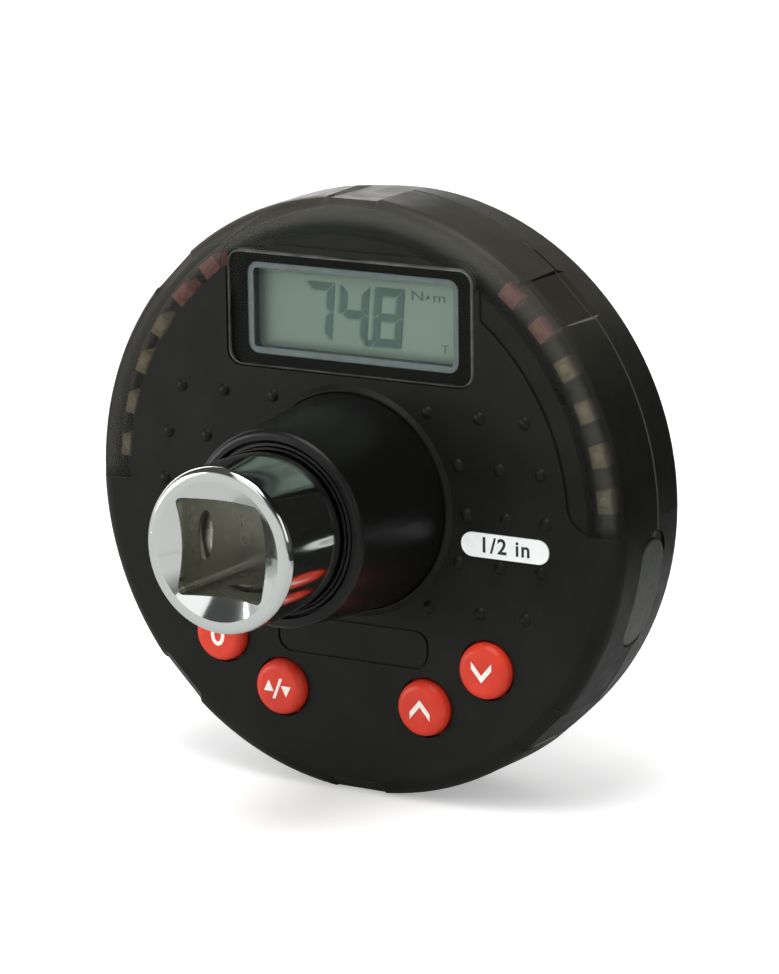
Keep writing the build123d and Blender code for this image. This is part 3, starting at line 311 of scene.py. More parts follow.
def smoked_abs(name, opening):
    """Smoked ABS. Opening is the share of light that each face lets through in the light band."""
    material, tree, place = blank_material(name)
    across = from_axis(tree, place)
    part = add_node(tree, "ShaderNodeSeparateXYZ", {"Vector": place}).outputs
    flow = mottle(tree, place, 8.0, 0.0, 1.0)
    # The wall of the rim is thick and unlined, so it is smoked grey, and it is painted paler towards
    # the top as painted light from the lamps above
    smoke_and_painted_top_light = rises(tree, part["Z"], top_light_from_mm, top_light_soft_mm)
    smoke_and_painted_top_light = rises(tree, across, shoulder_mm, 0.9, full=smoke_and_painted_top_light)
    black = blend_colours(tree, flow, "#131411", "#181916")
    smoke_with_painted_light = blend_colours(tree, flow, "#34332C", "#3D3C35")
    colour = blend_colours(tree, smoke_and_painted_top_light, black, smoke_with_painted_light)
    in_band = rises(tree, across, band_radius_mm, 0.15, full=rises(tree, part["Z"], band_end_mm, 0.6))
    rim = rises(tree, part["Y"], rim_depth_mm, 0.1, full=rises(tree, across, rim_radius_mm, 0.3))
    # Where the rim is cut in, the floors of the upper notches are smoked grey, while the recess of
    # the plug and the lower notches are painted in dark shade
    cut_in = falls(tree, across, notch_floor_mm, 0.02, full=rim)
    cut_in = falls(tree, part["Y"], notch_back_mm, 0.2, full=cut_in)
    notch_floor_shaded_below = blend_colours(tree, rises(tree, part["Z"], plug_top_mm, 2.0), "#0B0B0A", "#2E2C25")
    colour = blend_colours(tree, cut_in, colour, notch_floor_shaded_below)
    if not opening:
        # A thin band on the rear cover's rim at the parting line is painted paler: a painted highlight
        # along its edge
        parting_line_highlight = rises(tree, across, lip_radius_mm, 0.05)
        parting_line_highlight = falls(tree, part["Y"], rear_rim_mm + 0.06, 0.03, full=parting_line_highlight)
        colour = blend_colours(tree, parting_line_highlight, colour, "#3E3F39")
    # The rim widens by 0.02 mm a millimetre up to the parting line and narrows by 0.14 mm behind
    # it. The walls of a notch end just under the rim and catch more light than its floor, but
    # the upper wall of the notch at the right hangs over and lies in its own shade
    lean, under_rim_mm = (-0.0196, 40.38) if opening else (0.1443, 47.44)
    upright = add_node(tree, "ShaderNodeMath", {
        0: part["Y"], 1: lean, 2: across}, operation="MULTIPLY_ADD").outputs[0]
    wall = rises(tree, across, wall_foot_mm, 0.02, full=rim)
    wall = falls(tree, upright, under_rim_mm, 0.02, full=wall)
    over_notch = add_node(tree, "ShaderNodeMath", {
        0: part["Z"], 1: part["X"]}, operation="SUBTRACT").outputs[0]
    shaded = rises(tree, over_notch, shade_low_mm, 0.5)
    shaded = falls(tree, over_notch, shade_high_mm, 0.5, full=shaded)
    wall_tone = blend_colours(tree, shaded, "#5E5F57", "#0B0B0A")
    colour = blend_colours(tree, wall, colour, wall_tone)
    if opening:
        # A pale band over the upper half of the shoulder is painted light, for the lamps' reflection in the
        # rounded shoulder and the light scattered in it
        glow = rises(tree, part["Z"], 0.0, 1.5, full=0.75)
        glow = rises(tree, across, shoulder_light_inner_mm, 0.9, full=glow)
        glow = falls(tree, across, shoulder_light_outer_mm, 0.5, full=glow)
        colour = blend_colours(tree, glow, colour, "#4B4A44")
    surface = add_node(tree, "ShaderNodeBsdfPrincipled", {
        "Base Color": colour, "Roughness": mottle(tree, place, 2.5, 0.4, 0.48),
        "Specular IOR Level": 0.12, "Normal": grain(tree, place, 0.25, 0.002)}).outputs[0]
    if opening:
        clear = add_node(tree, "ShaderNodeBsdfTransparent").outputs[0]
        share = add_node(tree, "ShaderNodeMapRange", {
            "Value": part["Y"], "From Min": lights_depth_mm * mm, "From Max": posts_depth_mm * mm,
            "To Min": opening, "To Max": 0.0}).outputs[0]
        # The posts behind the band touch the wall, so the view in opens only outside them
        share = rises(tree, across, ring_inner_mm, 0.35, full=share)
        share = falls(tree, across, ring_outer_mm, 0.8, full=share)
        share = add_node(tree, "ShaderNodeMath", {0: share, 1: in_band}, operation="MULTIPLY").outputs[0]
        surface = add_node(tree, "ShaderNodeMixShader", {0: share, 1: surface, 2: clear}).outputs[0]
        # A shadow ray goes straight through the band, so the lamps light what is behind it
        lamp_ray = add_node(tree, "ShaderNodeLightPath").outputs["Is Shadow Ray"]
        let_in = add_node(tree, "ShaderNodeMath", {
            0: lamp_ray, 1: in_band}, operation="MULTIPLY").outputs[0]
        surface = add_node(tree, "ShaderNodeMixShader", {0: let_in, 1: surface, 2: clear}).outputs[0]
    add_node(tree, "ShaderNodeOutputMaterial", {"Surface": surface})
    return material


front_abs = smoked_abs("ABS_smoked_with_light_band", 0.48)
rear_abs = smoked_abs("ABS_smoked_moulded", 0.0)
print("covers:", front_abs.name, "and", rear_abs.name)

# %% [markdown]
# The buttons are moulded in silicone rubber. It lets a little light in, which softens their
# edges, and its sheen is dull. The port plug is grey thermoplastic rubber and the seals are
# black rubber, both duller still.

# %% Rubbers
def moulded_rubber(name, colour, shade, roughness, glow=0.0):
    """Moulded rubber. Glow is the share of light that scatters under its skin."""
    material, tree, place = blank_material(name)
    rubber = add_node(tree, "ShaderNodeBsdfPrincipled", {
        "Base Color": blend_colours(tree, mottle(tree, place, 3.0, 0.0, 1.0), colour, shade),
        "Roughness": mottle(tree, place, 1.2, roughness - 0.05, roughness + 0.05),
        "Specular IOR Level": 0.3, "Subsurface Weight": glow, "Subsurface Scale": 0.6 * mm,
        "Normal": grain(tree, place, 0.2, 0.002)})
    add_node(tree, "ShaderNodeOutputMaterial", {"Surface": rubber.outputs[0]})
    return material


button_silicone = moulded_rubber("silicone_red_moulded", "#D03822", "#C6321E", 0.4, 0.04)
plug_rubber = moulded_rubber("rubber_grey_moulded", "#383A38", "#3F413E", 0.5)
seal_rubber = moulded_rubber("rubber_black_moulded", "#0C0C0C", "#121211", 0.5)
contact_rubber = moulded_rubber("rubber_striped_contact", "#2B2B2B", "#C9A9A0", 0.6)
gasket_rubber = moulded_rubber("rubber_grey_flat_moulded", "#34352F", "#3B3C36", 0.5)
print("rubbers:", button_silicone.name, plug_rubber.name, gasket_rubber.name)

# %% [markdown]
# ## Metals
# The drive shaft is a steel forging, ground, polished and chromed. Chrome mirrors its
# surroundings, so its look is mostly what stands round it, with faint wipe marks in the gloss.
# In the square the plating is thinner and was never polished, so it is warmer and less sharp.
# Inside the housing the shaft is bare ground steel.

# %% Chromed drive shaft
def chromed_shaft(name):
    """Polished chrome outside, unpolished plating in the square, and bare steel in the housing."""
    mouth_mm, plated_to_mm, square_from_mm, socket_radius_mm = 1.9, 34.0, 56.7, 9.4
    material, tree, place = blank_material(name)
    part = add_node(tree, "ShaderNodeSeparateXYZ", {"Vector": place}).outputs
    across = from_axis(tree, place)
    inside = rises(tree, part["Y"], plated_to_mm, 0.3)
    beyond = rises(tree, part["Y"], square_from_mm, 0.3)
    bare = add_node(tree, "ShaderNodeMath", {0: inside, 1: beyond}, operation="SUBTRACT").outputs[0]
    in_mouth = falls(tree, part["Y"], plated_to_mm, full=rises(tree, part["Y"], mouth_mm, 0.5))
    in_square = falls(tree, across, socket_radius_mm, full=in_mouth)
    plated = blend_colours(tree, in_square, "#C8CCC9", "#ADADA4")
    colour = blend_colours(tree, bare, plated, "#A7A49C")
    wiped = mottle(tree, place, 3.0, 0.08, 0.12)
    dull = mottle(tree, place, 3.0, 0.26, 0.32)
    sharpness = add_node(tree, "ShaderNodeMix", {0: in_square, 2: wiped, 3: dull}).outputs[0]
    sharpness = add_node(tree, "ShaderNodeMix", {0: bare, 2: sharpness, 3: 0.34}).outputs[0]
    chrome = add_node(tree, "ShaderNodeBsdfPrincipled", {
        "Base Color": colour, "Metallic": 1.0, "Roughness": sharpness,
        "Normal": grain(tree, place, 1.5, 0.0015)})
    add_node(tree, "ShaderNodeOutputMaterial", {"Surface": chrome.outputs[0]})
    return material


shaft_chrome = chromed_shaft("chrome_plated_steel")
print("shaft:", shaft_chrome.name)

# %% [markdown]
# The small metal pieces are turned, wound or stamped. Turning and stamping leave fine lines and
# a slight change of gloss, and each plating has its own tint: black oxide on the screws, bright
# zinc on the ring, nickel on the battery contacts.

# %% Small metal pieces
def worked_metal(name, colour, shade, roughness, mark_mm=0.4, depth_mm=0.003):
    """Turned or stamped metal with a thin plating."""
    material, tree, place = blank_material(name)
    tone = mottle(tree, place, 1.6, 0.0, 1.0)
    metal = add_node(tree, "ShaderNodeBsdfPrincipled", {
        "Base Color": blend_colours(tree, tone, colour, shade), "Metallic": 1.0,
        "Roughness": mottle(tree, place, 0.9, roughness - 0.06, roughness + 0.06),
        "Normal": grain(tree, place, mark_mm, depth_mm)})
    add_node(tree, "ShaderNodeOutputMaterial", {"Surface": metal.outputs[0]})
    return material


bearing_steel = worked_metal("steel_hardened_ground", "#C9C9C6", "#BDBDB9", 0.12)
spring_steel = worked_metal("spring_steel_wound", "#9D9A94", "#8A8780", 0.3)
ring_steel = worked_metal("steel_zinc_plated", "#B9BBB8", "#A4A7A6", 0.3)
black_screw = worked_metal("steel_black_oxide", "#2A2A2A", "#353433", 0.36)
nickel_contact = worked_metal("steel_nickel_plated", "#C4BDAC", "#B5AE9D", 0.24)
gauge_foil = worked_metal("constantan_foil_on_film", "#A98A52", "#B7995F", 0.4, 0.15, 0.004)
print("metals:", bearing_steel.name, black_screw.name, nickel_contact.name)

# %% [markdown]
# ## Window and display
# The window is clear acrylic with a coat against glare, so it mirrors much less than bare
# acrylic: an index of 1.12 gives the 0.3% of the coat in place of 4%. Glass shaders cast dark
# shadows in a path tracer, because lamps can't be found through a bend, so shadow rays get a
# Transparent shader instead and the display behind stays lit.

# %% Clear acrylic window
def clear_acrylic(name):
    """Polished clear acrylic that lets lamps through, with a frosted grey edge painted paler as a painted
    highlight.
    """
    corner_mm, edge_mm = 2.05, 0.3
    material, tree, place = blank_material(name)
    low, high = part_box("display_window")
    straight = (high - low) / 2 - Vector((corner_mm, 0, corner_mm)) * mm
    # How far a point is beyond the straight sides tells how near it is to the rounded edge
    beyond = place
    for step, other in (("SUBTRACT", (low + high) / 2), ("ABSOLUTE", (0, 0, 0)),
                        ("SUBTRACT", straight), ("MAXIMUM", (0, 0, 0))):
        beyond = add_node(tree, "ShaderNodeVectorMath", {0: beyond, 1: other}, operation=step).outputs[0]
    edge = rises(tree, from_axis(tree, beyond), corner_mm - edge_mm, 0.08)
    # The grey round the edge is partly the frosted cut edge and partly a painted highlight along it
    frosted_edge_and_highlight = add_node(tree, "ShaderNodeBsdfPrincipled", {
        "Base Color": blend_colours(tree, mottle(tree, place, 3.0, 0.0, 1.0), "#3A3B36", "#5C5E57"),
        "Roughness": 0.4, "Specular IOR Level": 0.3})
    pane = add_node(tree, "ShaderNodeBsdfPrincipled", {
        "Base Color": linear("#F6F8F6"), "Transmission Weight": 1.0, "IOR": 1.12,
        "Roughness": mottle(tree, place, 2.0, 0.0, 0.02)})
    clear = add_node(tree, "ShaderNodeBsdfTransparent", {"Color": linear("#F6F8F6")})
    whole = add_node(tree, "ShaderNodeMixShader", {0: edge, 1: pane.outputs[0], 2: frosted_edge_and_highlight.outputs[0]})
    lamp_ray = add_node(tree, "ShaderNodeLightPath").outputs["Is Shadow Ray"]
    surface = add_node(tree, "ShaderNodeMixShader", {
        0: lamp_ray, 1: whole.outputs[0], 2: clear.outputs[0]}).outputs[0]
    add_node(tree, "ShaderNodeOutputMaterial", {"Surface": surface})
    return material


window_acrylic = clear_acrylic("acrylic_clear_polished")
print("window:", window_acrylic.name)

# %% [markdown]
# A reflective liquid crystal cell is glass with a grey-green film under it. The film has a fine
# sparkle and is a little paler towards the right, where more light reaches it. The deep frame
# shades it along its left and lower edges. The digits are the dark state of the crystal, so
# they are a darker grey-green and not black, and they throw a faint shadow on the film below.

# %% Display frame, glass and print
def display_film(name):
    """Grey-green reflective film behind the display glass, shaded by the frame at two edges."""
    left_mm, low_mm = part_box("lcd_glass")[0].x / mm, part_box("lcd_glass")[0].z / mm
    material, tree, place = blank_material(name)
    part = add_node(tree, "ShaderNodeSeparateXYZ", {"Vector": place}).outputs
    along = add_node(tree, "ShaderNodeMapRange", {
        "Value": part["X"], "From Min": -15 * mm, "From Max": 12 * mm}).outputs[0]
    film = blend_colours(tree, along, "#5A675E", "#637167")
    film = blend_colours(tree, mottle(tree, place, 0.25, 0.0, 0.06, 1.0), film, "#94A095")
    from_left = falls(tree, part["X"], left_mm + 2.4, 1.8, full=0.8)
    from_low = falls(tree, part["Z"], low_mm + 1.2, 0.8, full=0.6)
    shade = add_node(tree, "ShaderNodeMath", {0: from_left, 1: from_low}, operation="MAXIMUM").outputs[0]
    cell = add_node(tree, "ShaderNodeBsdfPrincipled", {
        "Base Color": blend_colours(tree, shade, film, "#333D3B"),
        "Roughness": mottle(tree, place, 1.5, 0.3, 0.38), "Specular IOR Level": 0.2})
    add_node(tree, "ShaderNodeOutputMaterial", {"Surface": cell.outputs[0]})
    return material


def display_frame(name):
    """Grey moulding whose inner walls, seen at a glance, lie in their own shade."""
    shade_from_mm = 34.3
    material, tree, place = blank_material(name)
    part = add_node(tree, "ShaderNodeSeparateXYZ", {"Vector": place}).outputs
    face = blend_colours(tree, mottle(tree, place, 2.0, 0.0, 1.0), "#505A5B", "#4A5354")
    moulding = add_node(tree, "ShaderNodeBsdfPrincipled", {
        "Base Color": blend_colours(tree, rises(tree, part["Y"], shade_from_mm), face, "#272D2E"),
        "Roughness": mottle(tree, place, 1.0, 0.45, 0.55), "Specular IOR Level": 0.25,
        "Normal": grain(tree, place, 0.2, 0.002)})
    add_node(tree, "ShaderNodeOutputMaterial", {"Surface": moulding.outputs[0]})
    return material


def flat_print(name, colour, shade, roughness=0.5, blot_mm=0.5, specular=0.1):
    """Thin ink or film in a colour, with a slightly uneven coat."""
    material, tree, place = blank_material(name)
    coat = mottle(tree, place, blot_mm, 0.0, 1.0)
    ink = add_node(tree, "ShaderNodeBsdfPrincipled", {
        "Base Color": blend_colours(tree, coat, colour, shade),
        "Roughness": mottle(tree, place, blot_mm * 2, roughness - 0.05, roughness + 0.05),
        "Specular IOR Level": specular, "Normal": grain(tree, place, blot_mm / 2, 0.0005)})
    add_node(tree, "ShaderNodeOutputMaterial", {"Surface": ink.outputs[0]})
    return material


lcd_film = display_film("lcd_reflective_film")
lcd_frame_abs = display_frame("ABS_grey_blue_moulded")
lcd_dark = flat_print("liquid_crystal_dark", "#3F4F4B", "#43534E")
lcd_shadow = flat_print("liquid_crystal_shadow", "#55635B", "#59675F")
white_ink = flat_print("ink_white_pad_printed", "#EDEAE6", "#E3DFDA")
dark_ink = flat_print("ink_dark_screen_printed", "#2B3133", "#343A3C")
# The black border ink is painted a little paler than black, as a painted sheen of the window in front of it
border_ink = flat_print("ink_black_screen_printed", "#1C1D1B", "#20211F", 0.5, 1.0)
plate_film = flat_print("polyester_white_label", "#F6FAF9", "#EFF4F3", 0.3, 1.5, 0.4)
print("display and prints:", lcd_film.name, white_ink.name, plate_film.name)

# %% [markdown]
# ## Electronics
# The board is glass-epoxy laminate under a dark solder mask. Copper tracks lie under the mask
# and lift it slightly, which a brick pattern shows. The light blocks are cast in tinted epoxy,
# the gauge ribbon is amber polyimide with copper strips, and the batteries wear printed film.

# %% Board, light blocks, ribbon and chips
def laminate_board(name):
    """Solder mask over copper tracks."""
    track_mm, copper_mm = 1.4, 0.03
    material, tree, place = blank_material(name)
    upright = add_node(tree, "ShaderNodeMapping", {
        "Vector": place, "Rotation": (math.radians(90), 0, 0)}).outputs[0]
    tracks = add_node(tree, "ShaderNodeTexBrick", {
        "Vector": upright, "Scale": 1 / (track_mm * mm),
        "Color1": linear("#16261C"), "Color2": linear("#1C3024"), "Mortar": linear("#0E1A13"),
        "Mortar Size": 0.12, "Brick Width": 4.0, "Row Height": 0.8})
    lifted = add_node(tree, "ShaderNodeBump", {
        "Height": tracks.outputs["Fac"], "Distance": copper_mm * mm}).outputs[0]
    mask = add_node(tree, "ShaderNodeBsdfPrincipled", {
        "Base Color": tracks.outputs["Color"], "Roughness": mottle(tree, place, 2.0, 0.28, 0.4),
        "Normal": lifted})
    add_node(tree, "ShaderNodeOutputMaterial", {"Surface": mask.outputs[0]})
    return material


def cast_epoxy(name, colour, shade):
    """Tinted epoxy of a light block, slightly cloudy."""
    material, tree, place = blank_material(name)
    epoxy = add_node(tree, "ShaderNodeBsdfPrincipled", {
        "Base Color": blend_colours(tree, mottle(tree, place, 0.8, 0.0, 1.0), colour, shade),
        "Roughness": mottle(tree, place, 1.0, 0.2, 0.35), "Subsurface Weight": 0.3,
        "Subsurface Scale": 0.5 * mm, "Normal": grain(tree, place, 0.5, 0.002)})
    add_node(tree, "ShaderNodeOutputMaterial", {"Surface": epoxy.outputs[0]})
    return material


def printed_ribbon(name):
    """Polyimide film over copper strips that run along it."""
    strip_mm = 0.6
    material, tree, place = blank_material(name)
    strips = add_node(tree, "ShaderNodeTexWave", {"Vector": place, "Scale": 1 / (strip_mm * 20 * mm)},
                      bands_direction="X")
    film = add_node(tree, "ShaderNodeBsdfPrincipled", {
        "Base Color": blend_colours(tree, strips.outputs["Fac"], "#A4561A", "#C98A3C"),
        "Roughness": mottle(tree, place, 1.5, 0.22, 0.32)})
    add_node(tree, "ShaderNodeOutputMaterial", {"Surface": film.outputs[0]})
    return material


def wrapped_cell(name):
    """Printed film round a battery: plain green, with a grey band at its positive end."""
    cap_mm = 12.0
    material, tree, place = blank_material(name)
    part = add_node(tree, "ShaderNodeSeparateXYZ", {"Vector": place}).outputs
    tone = blend_colours(tree, mottle(tree, place, 6.0, 0.0, 1.0), "#2C5A45", "#285340")
    colour = blend_colours(tree, rises(tree, part["Z"], cap_mm, 0.1), tone, "#B4B7B0")
    film = add_node(tree, "ShaderNodeBsdfPrincipled", {
        "Base Color": colour, "Metallic": 0.4, "Roughness": mottle(tree, place, 2.0, 0.22, 0.34),
        "Normal": grain(tree, place, 3.0, 0.004)})
    add_node(tree, "ShaderNodeOutputMaterial", {"Surface": film.outputs[0]})
    return material


board_laminate = laminate_board("glass_epoxy_board")
red_epoxy = cast_epoxy("epoxy_red_cast", "#D08A7C", "#C67A6C")
amber_epoxy = cast_epoxy("epoxy_amber_cast", "#B9AC86", "#AFA07A")
lens_epoxy = cast_epoxy("epoxy_amber_lens", "#D6C6A0", "#CBBA92")
red_lens = cast_epoxy("epoxy_red_lens", "#D98F84", "#CE8478")
chip_epoxy = moulded_plastic("epoxy_black_moulded", "#191919", "#202020", 0.5, 0.15)
ribbon_film = printed_ribbon("polyimide_ribbon")
cell_film = wrapped_cell("battery_film_printed")
print("electronics:", board_laminate.name, red_epoxy.name, amber_epoxy.name)

# %% [markdown]
# ## Dressing the CAD pieces
# Each CAD piece gets the material of the real one. The mesh is left as it came, so it still
# fits its neighbours to a hundredth of a millimetre.

# %% Give every CAD piece its material
finishes = {
    shaft_chrome: ["drive_shaft"],
    bearing_steel: ["detent_ball"],
    spring_steel: ["detent_spring", "battery_springs"],
    ring_steel: ["retaining_ring"],
    black_screw: ["cover_screws", "door_screws_right", "door_screws_left", "sleeve_grub_screws",
                  "board_screws"],
    nickel_contact: ["battery_contact_plates"],
    gauge_foil: ["strain_gauges"],
    sleeve_nylon: ["boss_sleeve"],
    seal_rubber: ["front_seal"],
    gasket_rubber: ["cover_gasket"],
    front_abs: ["front_cover"],
    rear_abs: ["rear_cover", "battery_door_right", "battery_door_left"],
    bush_acetal: ["rear_bush"],
    plug_rubber: ["port_plug"],
    button_silicone: ["button_clear", "button_units", "button_up", "button_down"],
    switch_nylon: ["switch_plunger_clear", "switch_plunger_units", "switch_plunger_up",
                   "switch_plunger_down"],
    buzzer_pbt: ["buzzer", "tact_switches", "port_jack"],
    mask_film: ["inner_mask"],
    window_acrylic: ["display_window"],
    border_ink: ["window_border"],
    lcd_frame_abs: ["lcd_frame"],
    lcd_film: ["lcd_glass"],
    contact_rubber: ["display_contact_strips"],
    plate_film: ["label_plate"],
    board_laminate: ["main_board"],
    red_epoxy: ["red_lights"],
    amber_epoxy: ["amber_lights"],
    chip_epoxy: ["circuit_chips"],
    ribbon_film: ["gauge_ribbon"],
    cell_film: ["battery_cell_right", "battery_cell_left"],
}
for material, names in finishes.items():
    for name in names:
        nodes[name].data.materials.clear()
        nodes[name].data.materials.append(material)
dressed = {name for names in finishes.values() for name in names}
print("dressed", len(dressed), "of", len(nodes), "pieces; left:", sorted(set(nodes) - dressed))

# %% [markdown]
# ## The detent spring
# The spring under the detent ball shortens as the ball goes in, which a rigid CAD piece can't
# do. A copy of its coil, with a mesh of its own, stands in for it on the root body, and the CAD
# piece is hidden.

# %% Put a copy of the detent spring's coil in its place
coil = bpy.data.objects.new("detent_spring_coil", nodes["detent_spring"].data.copy())
bpy.context.scene.collection.objects.link(coil)
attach(coil, "root")
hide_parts("detent_spring")
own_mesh(coil)

# %% [markdown]
# ## Added pieces
# The rest is too thin or too small for CAD: the reading of the display, the print, the chips in
# the light blocks and the ribs on the battery doors. Each mark is a thin closed solid that lies
# on its carrier, rides the same body and is given its material here. It starts as
# outlines in millimetres, drawn as they are seen from the front, and a filled curve turns them
# into a sheet with its holes.

# %% Helpers for flat marks
# Capitals are this share of the size of Blender's own font
capital_share = 0.72


def outlined(name, outlines):
    """A flat curve from closed outlines in millimetres."""
    curve = bpy.data.curves.new(name, "CURVE")
    for outline in outlines:
        line = curve.splines.new("POLY")
        line.points.add(len(outline) - 1)
        line.use_cyclic_u = True
        for point, (x, z) in zip(line.points, outline):
            point.co = (x, z, 0, 1)
    return curve


def lettered(name, text, tall_mm, spacing=1.0, weight_mm=0.0):
    """A flat text curve whose capitals are about tall_mm high, centred on its own middle."""
    curve = bpy.data.curves.new(name, "FONT")
    curve.body = text
    curve.size = tall_mm / capital_share
    curve.space_character = spacing
    curve.offset = weight_mm
    curve.align_x, curve.align_y = "CENTER", "CENTER"
    return curve


def lay_mark(curve, place, body, material, thick_mm=0.03, stretch=1.0):
    """Makes a thin closed solid of a flat curve, facing the front with its back at a place."""
    curve.dimensions = "2D"
    curve.fill_mode = "BOTH"
    curve.extrude = thick_mm / 2
    drawing = bpy.data.objects.new(curve.name, curve)
    bpy.context.scene.collection.objects.link(drawing)
    bpy.context.view_layer.update()
    drawn = drawing.evaluated_get(bpy.context.evaluated_depsgraph_get())
    mesh = bpy.data.meshes.new_from_object(drawn)
    name = drawing.name
    bpy.data.objects.remove(drawing)
    middle_of_mark = Vector(place) - Vector((0, thick_mm * mm / 2, 0))
    mesh.transform(Matrix.Translation(middle_of_mark)
                   @ Matrix.Rotation(math.radians(90), 4, "X") @ Matrix.Scale(mm, 4)
                   @ Matrix.Scale(stretch, 4, Vector((1, 0, 0))))
    solid = bmesh.new()
    solid.from_mesh(mesh)
    bmesh.ops.remove_doubles(solid, verts=solid.verts, dist=1e-7)
    bmesh.ops.recalc_face_normals(solid, faces=solid.faces)
    open_edges = sum(not edge.is_manifold for edge in solid.edges)
    solid.to_mesh(mesh)
    solid.free()
    mesh.materials.clear()
    mesh.materials.append(material)
    piece = bpy.data.objects.new(name, mesh)
    bpy.context.scene.collection.objects.link(piece)
    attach(piece, body)
    print(name, "faces:", len(mesh.polygons), "open edges:", open_edges)


# %% [markdown]
# The display shows a plain torque reading in seven-segment digits that lean a little to the
# right. Opposite segments are mirror images, so three outlines make all seven. A paler copy just
# to the lower left is the shadow that the crystal throws on the film behind it.

# %% The reading on the display
segments_of = {"7": "abc", "4": "bcfg", "8": "abcdefg"}


def digit(figure, x_mm, wide=4.6, tall=8.1, stroke=1.15, gap=0.08, lean=0.08):
    """Outlines of one figure's lit segments, in millimetres from the middle of the display."""
    # Half the width and height, the thickness of a segment, and the gap at its ends
    w, h, t, g = wide / 2, tall / 2, stroke, gap
    top = [(g - w, h), (w - g, h), (w - t - g, h - t), (t + g - w, h - t)]
    upper_right = [(w, h - g), (w, g), (w - t / 2, g), (w - t, t / 2 + g), (w - t, h - t - g)]
    bar = [(t / 2 + g - w, 0), (t + g - w, t / 2), (w - t - g, t / 2),
           (w - t / 2 - g, 0), (w - t - g, -t / 2), (t + g - w, -t / 2)]
    shapes = {"a": (top, 1, 1), "b": (upper_right, 1, 1), "c": (upper_right, 1, -1), "d": (top, 1, -1),
              "e": (upper_right, -1, -1), "f": (upper_right, -1, 1), "g": (bar, 1, 1)}
    lit = [shapes[letter] for letter in segments_of[figure]]
    return [[(x_mm + sx * x + lean * sz * z, sz * z) for x, z in outline] for outline, sx, sz in lit]


decimal_point = [(1.2, -4.1), (2.05, -4.1), (2.1, -3.3), (1.25, -3.3)]
unit_point = [(10.75, 3.1), (11.15, 3.1), (11.15, 3.5), (10.75, 3.5)]
reading = digit("7", -6.1) + digit("4", -0.6) + digit("8", 4.8) + [decimal_point, unit_point]
display_middle = Vector((0, glass_front_y, display_z))
shadow_place = display_middle + Vector((-0.3, 0, -0.25)) * mm
lay_mark(outlined("lcd_reading_shadow", reading), shadow_place, "root", lcd_shadow,
         thick_mm=0.015)
lay_mark(outlined("lcd_reading", reading), display_middle, "root", lcd_dark,
         thick_mm=0.04)
unit_place = display_middle + Vector((11.0, 0, 3.3)) * mm
lay_mark(lettered("lcd_unit", "N m", 1.35, 1.15), unit_place, "root", lcd_dark, stretch=1.5)
mode_place = display_middle + Vector((13.5, 0, -3.6)) * mm
lay_mark(lettered("lcd_mode", "T", 1.2), mode_place, "root", lcd_dark)

# %% [markdown]
# The four buttons carry plain white signs: a zero, two opposed triangles for changing the unit,
# and an arrow up and down. They ride their buttons, so they sink with them.

# %% Signs on the buttons and the plate
def ellipse(half_wide, half_tall, count=32):
    """Points round an ellipse."""
    turns = [2 * math.pi * i / count for i in range(count)]
    return [(half_wide * math.cos(a), half_tall * math.sin(a)) for a in turns]


def arrow(sign, half=1.55, rise=1.8, stroke=1.0):
    """An open arrow head that points up, or down when sign is -1."""
    foot = -(rise + stroke) / 2
    rim = [(0, foot + rise + stroke), (half, foot + stroke), (half, foot),
           (0, foot + rise), (-half, foot), (-half, foot + stroke)]
    return [[(x, sign * z) for x, z in rim]]


triangle = [(-2.15, -0.45), (-0.6, -0.45), (-1.375, 1.1)]
slash = [(-0.8, -1.45), (-0.35, -1.45), (0.8, 1.45), (0.35, 1.45)]
signs = {
    "clear": [ellipse(1.1, 1.55), ellipse(0.55, 0.98)],
    "units": [triangle, slash, [(-x, -z) for x, z in triangle]],
    "up": arrow(1),
    "down": arrow(-1),
}
for name, outlines in signs.items():
    place = middle("button_" + name)
    place.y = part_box("button_" + name)[0].y
    lay_mark(outlined("sign_" + name, outlines), place, "button_" + name, white_ink)
plate_place = middle("label_plate")
plate_place.y = plate_front_y
lay_mark(lettered("plate_size", "1/2 in", 2.1, 1.15, 0.06), plate_place, "root", dark_ink,
         thick_mm=0.02)

# %% [markdown]
# ## Repeated pieces
# The light blocks each hold a small clear chip, and the battery doors have ribs for the thumb.
# Both repeat one shape, so Geometry Nodes place them: a tree with named inputs makes an arc or
# a line of points, sets one shape on each, and gives them their material. The result becomes a
# plain mesh.

# %% Helpers for Geometry Nodes
def repeat_tree(name, wanted):
    """An empty Geometry Nodes tree with these named inputs. Returns it with its two ends."""
    tree = bpy.data.node_groups.new(name, "GeometryNodeTree")
    tree.interface.new_socket("Geometry", in_out="OUTPUT", socket_type="NodeSocketGeometry")
    for label, kind in wanted.items():
        tree.interface.new_socket(label, in_out="INPUT", socket_type="NodeSocket" + kind)
    return tree, add_node(tree, "NodeGroupInput").outputs, add_node(tree, "NodeGroupOutput").inputs


def set_along(tree, points, shape, material, output):
    """Sets a shape on each point, joins the copies and gives them their material."""
    copies = add_node(tree, "GeometryNodeInstanceOnPoints", {"Points": points, "Instance": shape})
    joined = add_node(tree, "GeometryNodeRealizeInstances", {"Geometry": copies.outputs[0]})
    painted = add_node(tree, "GeometryNodeSetMaterial", {
        "Geometry": joined.outputs[0], "Material": material})
    tree.links.new(painted.outputs[0], output)


